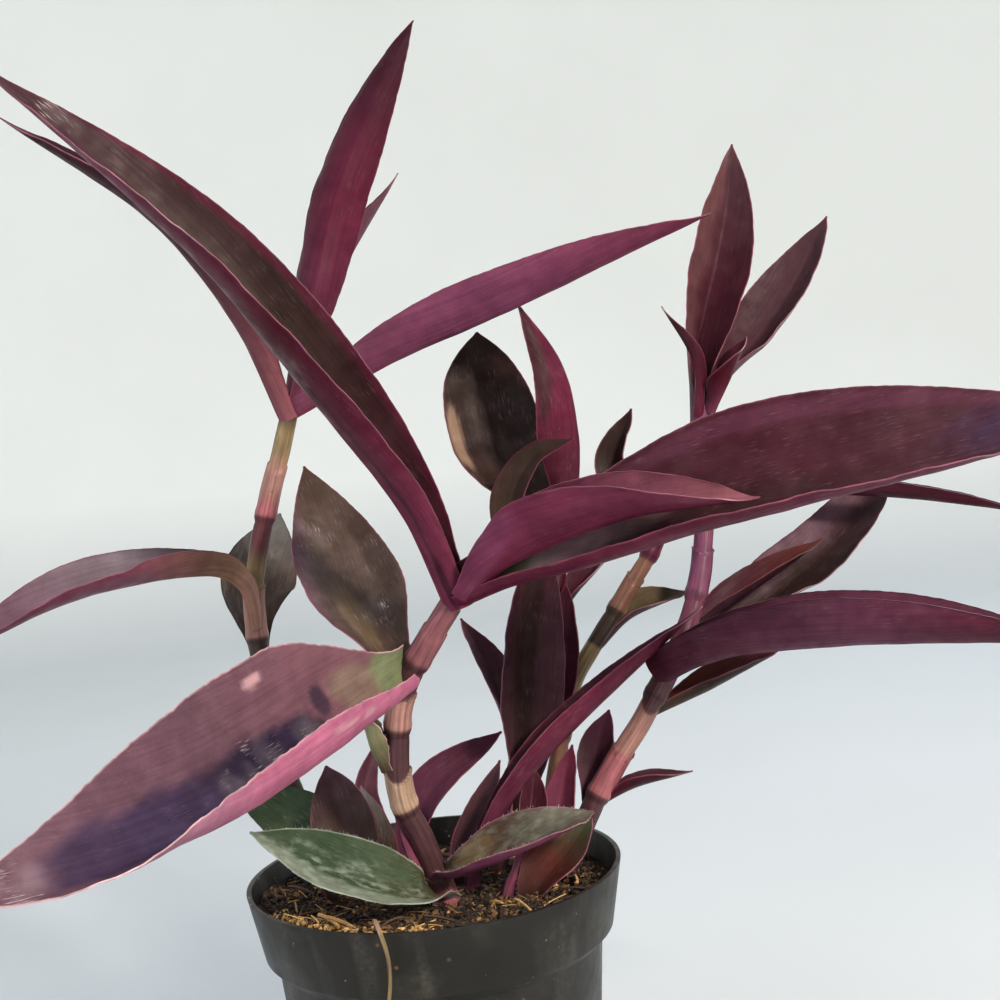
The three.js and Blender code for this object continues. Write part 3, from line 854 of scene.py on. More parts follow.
def only(piece: Object) -> None:
    """Select one object and make it the active one.

    Args:
        piece: Object to select.
    """
    bpy.ops.object.select_all(action="DESELECT")
    piece.select_set(True)
    bpy.context.view_layer.objects.active = piece


def primitive(add: Callable[..., object], name: str, **settings: object) -> Object:
    """Add a primitive, selected alone.

    Args:
        add: Operator that adds it.
        name: Name of the object and its mesh.
        settings: Values of the operator.

    Returns:
        The new object.
    """
    bpy.ops.object.select_all(action="DESELECT")
    add(**settings)
    piece = bpy.context.active_object
    piece.name = name
    piece.data.name = name
    return piece


def open_mesh(piece: Object) -> None:
    """Enter edit mode with all of a piece selected.

    Args:
        piece: Object to edit.
    """
    only(piece)
    bpy.ops.object.mode_set(mode="EDIT")
    bpy.ops.mesh.select_all(action="SELECT")


def close_mesh(inside: bool = False) -> None:
    """Turn all faces of the edited piece one way and leave edit mode.

    Args:
        inside: Whether they point inwards.
    """
    bpy.ops.mesh.select_all(action="SELECT")
    bpy.ops.mesh.normals_make_consistent(inside=inside)
    bpy.ops.object.mode_set(mode="OBJECT")


def soften(piece: Object, degrees: float) -> None:
    """Shade a piece smooth, apart from edges sharper than an angle."""
    only(piece)
    bpy.ops.object.shade_smooth_by_angle(angle=math.radians(degrees))


def extrude_rings(radius: float, rings: Iterable[Ring], uneven: float = 1.0) -> None:
    """Extrude what is selected through rings, each a radius and a height in millimetres.

    Args:
        radius: Radius of what is selected.
        rings: Rings in order.
        uneven: Share of its own ups and downs that it keeps.
    """
    height = 0.0
    for next_radius, next_height in rings:
        rise, share = (next_height - height) * MM, next_radius / radius
        bpy.ops.mesh.extrude_region_move(TRANSFORM_OT_translate={"value": (0, 0, rise)})
        bpy.ops.transform.resize(value=(share, share, uneven), center_override=(0, 0, next_height * MM))
        radius, height = next_radius, next_height


def flat_grid(name: str, across: int, along_it: int) -> Object:
    """Add a flat grid of one unit square.

    Args:
        name: Name of the object.
        across: Number of faces along X.
        along_it: Number of faces along Y.

    Returns:
        The new object.
    """
    return primitive(bpy.ops.mesh.primitive_grid_add, name, x_subdivisions=across,
                     y_subdivisions=along_it, size=1.0)


def corners(piece: Object) -> Array:
    """Read the places of an object's vertices.

    Args:
        piece: Object to read.

    Returns:
        One row for each vertex, in the unit of its mesh.
    """
    flat = np.empty(len(piece.data.vertices) * 3)
    piece.data.vertices.foreach_get("co", flat)
    return flat.reshape(-1, 3)


def put(piece: Object, points: Array) -> None:
    """Move an object's vertices to points in millimetres."""
    piece.data.vertices.foreach_set("co", (points * MM).ravel())
    piece.data.update()


def paint(piece: Object, name: str, values: Array) -> None:
    """Store a number, a vector or a colour on each vertex.

    Args:
        piece: Object to store it on.
        name: Name of the attribute.
        values: One row for each vertex: 1 number, 3 for a vector or 4 for a colour.
    """
    width = 1 if values.ndim == 1 else values.shape[1]
    kinds = {1: ("FLOAT", "value"), 3: ("FLOAT_VECTOR", "vector"), 4: ("FLOAT_COLOR", "color")}
    kind, field_name = kinds[width]
    layer = piece.data.attributes.new(name, kind, "POINT")
    layer.data.foreach_set(field_name, np.ascontiguousarray(values, dtype=np.float32).ravel())


def modify(piece: Object, kind: str, **settings: object) -> None:
    """Add a modifier and apply it.

    Args:
        piece: Object to change.
        kind: Type of the modifier.
        settings: Values of its properties.
    """
    only(piece)
    modifier = piece.modifiers.new(kind.lower(), kind)
    for key, value in settings.items():
        setattr(modifier, key, value)
    bpy.ops.object.modifier_apply(modifier=modifier.name)


def dress(piece: Object, *materials: Material) -> None:
    """Fill an object's material slots in order."""
    for material in materials:
        piece.data.materials.append(material)


def settle(piece: Object, node: str | None = None) -> None:
    """Ride a finished piece on the plant, in place of a node if it has one.

    Args:
        piece: Finished object.
        node: Node that it replaces.
    """
    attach(piece, "root")
    if node:
        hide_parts(node)
    LOG.info("%s: %d faces", piece.name, len(piece.data.polygons))


def join(piece: Object, *others: Object) -> None:
    """Join other objects to a piece.

    Args:
        piece: Object that stays.
        others: Objects that become part of it.
    """
    only(piece)
    for other in others:
        other.select_set(True)
    bpy.ops.object.join()


def mesh_from(name: str, points: Array, faces: Array) -> Object:
    """Make an object from points in millimetres and faces.

    Args:
        name: Name of the object.
        points: Places of the vertices.
        faces: Vertex numbers of each face.

    Returns:
        The new object.
    """
    mesh = bpy.data.meshes.new(name)
    mesh.from_pydata((points * MM).tolist(), [], faces.tolist())
    piece = bpy.data.objects.new(name, mesh)
    bpy.context.scene.collection.objects.link(piece)
    return piece


def repeat(name: str, template: Object, places: Array, turns: Array) -> Object:
    """Copy a modelled shape many times into one mesh.

    Args:
        name: Name of the object.
        template: Shape to copy, in millimetres about the origin.
        places: Middle of each copy in millimetres.
        turns: Three rows for each copy that turn and scale it.

    Returns:
        The object with all copies.
    """
    shape = corners(template)
    template.data.calc_loop_triangles()
    triangles = np.array([list(t.vertices) for t in template.data.loop_triangles])
    points = np.einsum("nij,vj->nvi", turns, shape) + places[:, None, :]
    starts = np.arange(len(places))[:, None, None] * len(shape)
    return mesh_from(name, points.reshape(-1, 3), (triangles[None] + starts).reshape(-1, 3))


def slivers(name: str, roots: Array, tips: Array, thick: float) -> Object:
    """Make fine hairs, each a closed sliver with three sides.

    Args:
        name: Name of the object.
        roots: Foot of each hair in millimetres.
        tips: Point of each hair in millimetres.
        thick: Radius of the foot in millimetres.

    Returns:
        The object with all hairs.
    """
    ahead = unit(tips - roots)
    helper = np.where(np.abs(ahead[:, 2:]) > 0.8, [[1.0, 0, 0]], [[0, 0, 1.0]])
    side = unit(np.cross(ahead, helper))
    up = np.cross(side, ahead)
    foot = [roots + thick * (math.cos(a) * side + math.sin(a) * up) for a in (0, 2.1, 4.2)]
    points = np.stack([*foot, tips], axis=1).reshape(-1, 3)
    starts = np.arange(len(roots))[:, None, None] * 4
    faces = np.array([[0, 1, 2], [0, 3, 1], [1, 3, 2], [2, 3, 0]])
    return mesh_from(name, points, (faces[None] + starts).reshape(-1, 3))


@dataclass(frozen=True)
class Leaf:
    """One leaf: its node, its material slot, its form and its look.

    Lengths are millimetres, FACES the fewest and the most faces, and SMOOTH_BELOW degrees. RIPPLES
    are the waves of its right side, left side and middle.
    """

    name: str
    slot: Slot
    blade: Blade
    look: Look

    THICKNESS = 0.75
    FACE_LONG = 1.0
    FACE_WIDE = 1.0
    FACES_ACROSS = (12, 36)
    FACES_ALONG = (36, 150)
    SMOOTH_BELOW = 62
    NIBBLE = 9.0
    NICK = 3.1
    RIPPLES = (26.0, 23.0, 38.0)
    BROAD_HALF = 12
    EDGE_RISE = 0.42
    MIDDLE_RISE = 0.16
    THIN_SHARE = 0.4
    THIN_WITHIN = 3.0
    HAIRS_PER_MM = 4
    HAIR_LENGTH = 0.8
    HAIR_THICK = 0.02

    def build(self, finishes: Finishes, low: Array, high: Array, seed: int) -> Object:
        """Model, paint and dress the leaf.

        Args:
            finishes: Materials.
            low: Lowest corner that it may reach, in millimetres.
            high: Highest corner that it may reach.
            seed: Number that sets its small unevenness.

        Returns:
            The finished leaf.
        """
        curve = Route(self.blade.route)
        across = int(np.clip(round(self.blade.width / self.FACE_WIDE / 2) * 2, *self.FACES_ACROSS))
        rows = int(np.clip(round(curve.length / self.FACE_LONG), *self.FACES_ALONG))
        piece = flat_grid(f"{self.name}_blade", across, rows)
        flat = corners(piece)
        u, s = flat[:, 1] + 0.5, flat[:, 0] * 2
        half = self.blade.half_width(u)
        distance = u * curve.length
        worn = self.worn_margin(distance, s, half, seed)
        points = self.blade.surface(curve, u, s * worn)
        points += self.blade.normals(curve, u, s) * self.ripple(distance, s, half, seed)
        put(piece, np.clip(points, low, high))
        self.colour(piece, u, s, half, distance, seed)
        dress(piece, finishes.upper, finishes.under, finishes.margin, finishes.hair)
        self.thicken(piece, s, half)
        if self.look.hairy > 0:
            hair = self.hairs(curve, low, high, seed)
            dress(hair, finishes.hair)
            join(piece, hair)
        return piece

    def worn_margin(self, distance: Array, s: Array, half: Array, seed: int) -> Array:
        """Pull the margin in unevenly, as where it has been nibbled and has dried.

        Args:
            distance: Millimetres from the base.
            s: Places across.
            half: Half widths in millimetres.
            seed: Number that sets the waves.

        Returns:
            Factor on the place across.
        """
        bites = np.where(s > 0, waves(distance, self.NIBBLE, seed + 50), waves(distance, self.NIBBLE, seed))
        nicks = np.where(s > 0, waves(distance, self.NICK, seed + 7), waves(distance, self.NICK, seed + 8))
        depth = self.look.ragged * (0.8 + 0.5 * bites + 0.5 * nicks)
        return 1 - np.clip(depth, 0, 1) / np.maximum(half, 2) * np.abs(s) ** 6

    def ripple(self, distance: Array, s: Array, half: Array, seed: int) -> Array:
        """Give the blade's small rise and fall, strongest at its margins.

        Args:
            distance: Millimetres from the base.
            s: Places across.
            half: Half widths in millimetres.
            seed: Number that sets the waves.

        Returns:
            One column of millimetres along the normal.
        """
        right, left, middle = self.RIPPLES
        edge = np.where(s > 0, waves(distance, right, seed + 11), waves(distance, left, seed + 12))
        broad = waves(distance + 7 * s, middle, seed + 13)
        size = np.minimum(half / self.BROAD_HALF, 1)
        return (size * (self.EDGE_RISE * edge * np.abs(s) ** 3 + self.MIDDLE_RISE * broad))[:, None]

    def colour(self, piece: Object, u: Array, s: Array, half: Array, distance: Array, seed: int) -> None:
        """Paint the tints, the dust, the silver and the place on the blade, with painted light on the left
        half and marks, some of them painted shadow and sheen.

        Args:
            piece: Leaf to paint.
            u: Shares from base to tip.
            s: Places across.
            half: Half widths in millimetres.
            distance: Millimetres from the base.
            seed: Number that sets the waves.
        """
        look = self.look
        across = (s - self.blade.keel) * half
        inward = (1 - np.abs(s)) * half
        upper, under = (along(tuple(linear(tint.value) for tint in tints), u)
                        for tints in (look.upper, look.under))
        # Painted light: the left half of the upper face is stained lighter, as where light falls on it.
        if look.left:
            share = 0.8 * smooth(s - 0.1 * waves(distance, 20.0, seed + 3), self.blade.keel - 0.1,
                                 self.blade.keel - 0.6)
            upper = stained(upper, look.left, share[:, None])
        waver = 0.1 * waves(distance + 2 * across, 13.0, seed + 4)
        for mark in MARKS.get(self.name, ()):
            gone = np.hypot((distance - mark.u * distance.max()) / mark.long, (s - mark.s) * half / mark.wide)
            share = mark.strength * smooth(gone + waver, 1.2, 0.65)[:, None]
            if mark.face is Face.UPPER:
                upper = stained(upper, mark.tint, share)
            else:
                under = stained(under, mark.tint, share)
        edge = np.tile(linear(look.edge.value), (len(u), 1))
        edge = edge * (1 + 0.35 * waves(distance, 17.0, seed + 5))[:, None]
        for name, values in (("upper_tint", upper), ("under_tint", under), ("edge_tint", edge)):
            values[:, 3] = 1
            paint(piece, name, values)
        dust = np.full(len(u), look.dust)
        for place, over, radius in look.scuffed:
            gone = np.hypot(distance - place * distance.max(), (s - over) * half) / radius
            dust = np.maximum(dust, smooth(gone + waver, 1.2, 0.5))
        paint(piece, "dust", dust)
        paint(piece, "silver", look.silver * smooth(s + 0.3 * waves(distance, 15.0, seed + 6), 0.6, -0.1))
        paint(piece, "blade_mm", np.column_stack([across + 60 * seed, distance, inward]))

    def thicken(self, piece: Object, s: Array, half: Array) -> None:
        """Give the blade its thickness, thinner towards its margins.

        Args:
            piece: Leaf to thicken.
            s: Places across.
            half: Half widths in millimetres.
        """
        group = piece.vertex_groups.new(name="thickness")
        full = smooth((1 - np.abs(s)) * half, 0, self.THIN_WITHIN)
        weight = self.THIN_SHARE + (1 - self.THIN_SHARE) * full
        for level in np.unique(np.round(weight, 1)):
            group.add(np.flatnonzero(np.round(weight, 1) == level).tolist(), float(level), "REPLACE")
        modify(piece, "SOLIDIFY", thickness=self.THICKNESS * MM, offset=0.0, vertex_group="thickness",
               material_offset=1, material_offset_rim=2, use_even_offset=False)
        piece.vertex_groups.clear()
        soften(piece, self.SMOOTH_BELOW)

    def hairs(self, curve: Route, low: Array, high: Array, seed: int) -> Object:
        """Grow fine hairs from the margins, densest towards the base.

        Args:
            curve: Route of the fold.
            low: Lowest corner that they may reach, in millimetres.
            high: Highest corner that they may reach.
            seed: Number that sets their places.

        Returns:
            The object with the hairs.
        """
        random = np.random.default_rng(900 + seed)
        count = int(curve.length * self.HAIRS_PER_MM * self.look.hairy)
        u = np.concatenate([random.uniform(0.02, 0.96, count), random.uniform(0.02, 0.3, count // 2)])
        s = random.choice([-1.0, 1.0], len(u)) * (1 - self.look.ragged * 0.4 / self.blade.half_width(u))
        root = self.blade.surface(curve, u, s)
        outward = unit(root - self.blade.surface(curve, u, s * 0.9))
        lean = outward + 0.9 * random.normal(0, 0.5, (len(u), 3)) + 0.5 * curve.tangent(u)
        length = self.HAIR_LENGTH * random.uniform(0.5, 1.2, len(u))[:, None]
        tip = root + unit(lean) * length
        root, tip = np.clip(root, low, high), np.clip(tip, low, high)
        return slivers(f"{self.name}_hairs", root, tip, self.HAIR_THICK)


@dataclass(frozen=True)
class Stem:
    """One stem: its node, size, joints, leaf sheaths, route and tints.

    A waist is the narrow place below a joint.
    """

    name: str
    slot: Slot
    radius: tuple[float, float]
    nodes: tuple[float, ...]
    sheath: float
    route: tuple[Point, ...]
    bands: tuple[Band, ...]

    SIDES = 28
    ROW = 0.6
    NODE_SWELL = 0.5
    NODE_HALF = 1.6
    SHEATH_SWELL = 0.38
    COLLAR_HEIGHT = 1.4
    COLLAR_THICK = 0.14
    COLLAR_GAP = 0.05
    COLLAR_PALE = 0.15
    LAST_COLLAR = 0.85
    MOUTH_LEAN = 1.2
    MOUTH_DIP = 0.8
    WAIST_DEPTH = 0.2
    WAIST_BELOW = 1.9
    WAIST_HALF = 0.7
    WOBBLE = 0.08
    RIBS = 0.06
    RING_HALF = 0.35
    RING_SHADE = 0.5
    SMOOTH_BELOW = 50

    def frame(self, curve: Route, share: Array) -> tuple[Array, Array]:
        """Give the two directions across the stem.

        Args:
            curve: Route of the centre line.
            share: Shares of its length.

        Returns:
            Directions up and to the side.
        """
        tangent = curve.tangent(share)
        side = unit(np.cross(np.tile([0.0, 1.0, 0.0], (len(tangent), 1)), tangent))
        return np.cross(tangent, side), side

    def mouth(self, turn: Array) -> Array:
        """Give the millimetres that a sheath's mouth stands higher, as it dips in front."""
        return self.MOUTH_LEAN * np.cos(turn) - self.MOUTH_DIP * np.cos(2 * turn)

    def size(self, curve: Route, share: Array, turn: Array) -> Array:
        """Give the radius with its swollen joints and the sheaths that dip in front.

        Args:
            curve: Route of the centre line.
            share: Shares of its length.
            turn: Angles round it.

        Returns:
            Radii in millimetres.
        """
        distance = share * curve.length
        radius = self.radius[0] + (self.radius[1] - self.radius[0]) * share
        for node in self.nodes:
            past = distance - node * curve.length
            mouth = self.sheath + self.mouth(turn)
            radius = radius + self.NODE_SWELL * np.exp(-(past / self.NODE_HALF) ** 2)
            swell = smooth(past, 0, self.NODE_HALF) * smooth(past, mouth, mouth - 0.5)
            radius = radius + self.SHEATH_SWELL * swell
            radius = radius - self.WAIST_DEPTH * np.exp(-((past + self.WAIST_BELOW) / self.WAIST_HALF) ** 2)
        return radius + self.WOBBLE * np.sin(3 * turn + distance * 0.4) + self.RIBS * np.sin(11 * turn)

    def tube(self, piece: Object, curve: Route, share: Array, turn: Array, radius: Array) -> None:
        """Wrap a flat grid round the stem and close its seam.

        Args:
            piece: Grid to wrap.
            curve: Route of the centre line.
            share: Shares of the stem's length.
            turn: Angles round it.
            radius: Radii in millimetres.
        """
        up, side = self.frame(curve, share)
        round_it = radius[:, None] * (np.cos(turn)[:, None] * up + np.sin(turn)[:, None] * side)
        put(piece, curve.at(share) + round_it)
        middle = (self.radius[0] + self.radius[1]) / 2
        paint(piece, "stem_mm", np.column_stack([middle * np.cos(turn), middle * np.sin(turn),
                                                 share * curve.length]))
        open_mesh(piece)
        bpy.ops.mesh.remove_doubles(threshold=1e-6)
        bpy.ops.object.mode_set(mode="OBJECT")

    def build(self, finishes: Finishes) -> Object:
        """Model, paint and dress the stem with its collars.

        Args:
            finishes: Materials.

        Returns:
            The finished stem.
        """
        curve = Route(self.route)
        piece = flat_grid(f"{self.name}_skin", self.SIDES, max(int(curve.length / self.ROW), 12))
        flat = corners(piece)
        share, turn = flat[:, 1] + 0.5, (flat[:, 0] + 0.5) * 2 * math.pi
        paint(piece, "tint", self.tints(share, turn, curve))
        self.tube(piece, curve, share, turn, self.size(curve, share, turn))
        open_mesh(piece)
        bpy.ops.mesh.fill_holes(sides=0)
        close_mesh()
        soften(piece, self.SMOOTH_BELOW)
        dress(piece, finishes.stem)
        for index, node in enumerate(self.nodes):
            mouth = node + self.sheath / curve.length
            if mouth < self.LAST_COLLAR:
                join(piece, self.collar(curve, mouth, index, finishes))
        return piece

    def tints(self, share: Array, turn: Array, curve: Route) -> Array:
        """Give the skin's colour: its bands, and a thin dark ring at each joint.

        Args:
            share: Shares of the length.
            turn: Angles round the stem.
            curve: Route of the centre line.

        Returns:
            One colour for each vertex.
        """
        distance = share * curve.length
        colour = np.tile(linear(self.bands[0].tint.value), (len(share), 1))
        for band in self.bands[1:]:
            past = distance - band.start * curve.length - self.mouth(turn) * band.mouth
            share_gone = smooth(past, -band.soft, band.soft)[:, None]
            colour = stained(colour, band.tint, share_gone)
        for node in self.nodes:
            past = distance - node * curve.length
            colour = colour * (1 - self.RING_SHADE * np.exp(-(past / self.RING_HALF) ** 2))[:, None]
        colour[:, 3] = 1
        return colour

    def collar(self, curve: Route, mouth: float, seed: int, finishes: Finishes) -> Object:
        """Make the dry ragged rim of a leaf sheath.

        Args:
            curve: Route of the centre line.
            mouth: Share of the length where the sheath ends.
            seed: Number that sets the ragged edge.
            finishes: Materials.

        Returns:
            The collar.
        """
        piece = flat_grid(f"{self.name}_collar", self.SIDES, 4)
        flat = corners(piece)
        rise, turn = flat[:, 1] + 0.5, (flat[:, 0] + 0.5) * 2 * math.pi
        height = self.COLLAR_HEIGHT * (0.6 + 0.25 * np.sin(2 * turn + seed) + 0.12 * np.sin(7 * turn))
        share = mouth + (self.mouth(turn) - 0.9 + height * rise) / curve.length
        below = np.full(len(turn), mouth - 2.0 / curve.length)
        radius = self.size(curve, below, turn) + self.COLLAR_GAP + 0.1 * rise
        tint = stained(self.tints(below, turn, curve), Tint.PALE, self.COLLAR_PALE * rise[:, None] ** 4)
        paint(piece, "tint", tint)
        self.tube(piece, curve, np.clip(share, 0, 1), turn, radius)
        modify(piece, "SOLIDIFY", thickness=self.COLLAR_THICK * MM, offset=0.0)
        dress(piece, finishes.stem)
        return piece


MARKS = {
    "front_leaf_low": (
        Mark(0.04, 0.5, 9, 9, Tint.LIME, 0.8), Mark(0.15, 0.3, 9, 6, Tint.TAN, 0.4),
        # The violet and iris patches along the fold are painted shadow of the raised near half, turning to a
        # painted violet sheen towards the tip.
        Mark(0.24, 0.2, 3, 4, Tint.VIOLET, 0.8), Mark(0.33, -0.1, 11, 6, Tint.VIOLET, 1),
        Mark(0.42, -0.1, 13, 7, Tint.VIOLET, 1), Mark(0.52, -0.12, 14, 7, Tint.VIOLET, 0.9),
        Mark(0.64, -0.16, 16, 8, Tint.IRIS, 1), Mark(0.76, -0.2, 16, 8, Tint.IRIS, 0.9),
        Mark(0.37, 0.74, 3.4, 1.6, Tint.PALE, 1),
        Mark(0.2, -0.8, 4, 0.8, Tint.PALE, 0.7, face=Face.UNDER),
        Mark(0.28, -0.85, 6, 0.7, Tint.PALE, 0.7, face=Face.UNDER),
    ),
    "front_leaf_broad": (
        Mark(0.55, -0.85, 20, 3, Tint.MAUVE, 0.6), Mark(0.3, -0.2, 12, 4, Tint.KHAKI, 0.25),
        Mark(0.95, 0, 4, 5, Tint.UMBER), Mark(0.55, 0.75, 20, 4, Tint.COCOA, 0.6),
    ),
    "front_leaf_tall": (
        Mark(0.35, -0.45, 48, 0.9, Tint.WINE, 0.7, face=Face.UNDER),
        Mark(0.62, 0.1, 26, 5, Tint.BRONZE, 0.3), Mark(0.05, -0.5, 9, 1.2, Tint.WINE, 0.7, face=Face.UNDER),
        Mark(0.5, 0.95, 70, 1.3, Tint.CLARET, 0.7),
    ),
    "front_leaf_right": (
        Mark(0.1, -0.05, 9, 4, Tint.LIME, 0.5), Mark(0.02, -0.7, 8, 5, Tint.LIME, 0.8, face=Face.UNDER),
        Mark(0.2, -0.05, 12, 4, Tint.PALE, 0.5), Mark(0.29, -0.05, 13, 3, Tint.PALE, 0.3),
        # The iris patch at the tip is a painted violet-blue sheen, standing in for sky reflected in the
        # gutter.
        Mark(0.42, 0.4, 40, 8, Tint.COCOA, 0.6), Mark(0.98, 0, 34, 9, Tint.IRIS, 0.6),
        Mark(0.55, -0.8, 60, 2.5, Tint.BERRY, 0.5),
    ),
    "front_leaf_young": (
        Mark(0.15, 0.75, 16, 5, Tint.ORCHID, 0.5, face=Face.UNDER),
        Mark(0.6, 0.25, 26, 3.5, Tint.CLARET, 0.6, face=Face.UNDER),
    ),
    "left_leaf_out": (
        Mark(0.05, 0, 12, 9, Tint.SHELL, 0.7, face=Face.UNDER), Mark(0.1, 0, 14, 9, Tint.KHAKI, 0.8),
    ),
    "low_leaf_silver": (
        Mark(0.55, -0.75, 30, 3, Tint.FROST, 0.45), Mark(0.55, 0.5, 24, 3.5, Tint.MOSS, 0.8),
    ),
    "low_leaf_right": (
        Mark(0.75, -0.3, 12, 4, Tint.SILVER, 0.4), Mark(0.3, -0.5, 8, 3, Tint.KHAKI, 0.25),
    ),
    "middle_leaf_channel": (
        Mark(0.55, 0, 60, 4, Tint.COCOA, 0.8),
    ),
    "middle_leaf_round": (
        Mark(0.55, -0.85, 9, 2.2, Tint.CUP, 0.6),
    ),
    "middle_leaf_top": (
        Mark(0.75, 0.8, 22, 3, Tint.COCOA, 0.7, face=Face.UNDER),
    ),
}

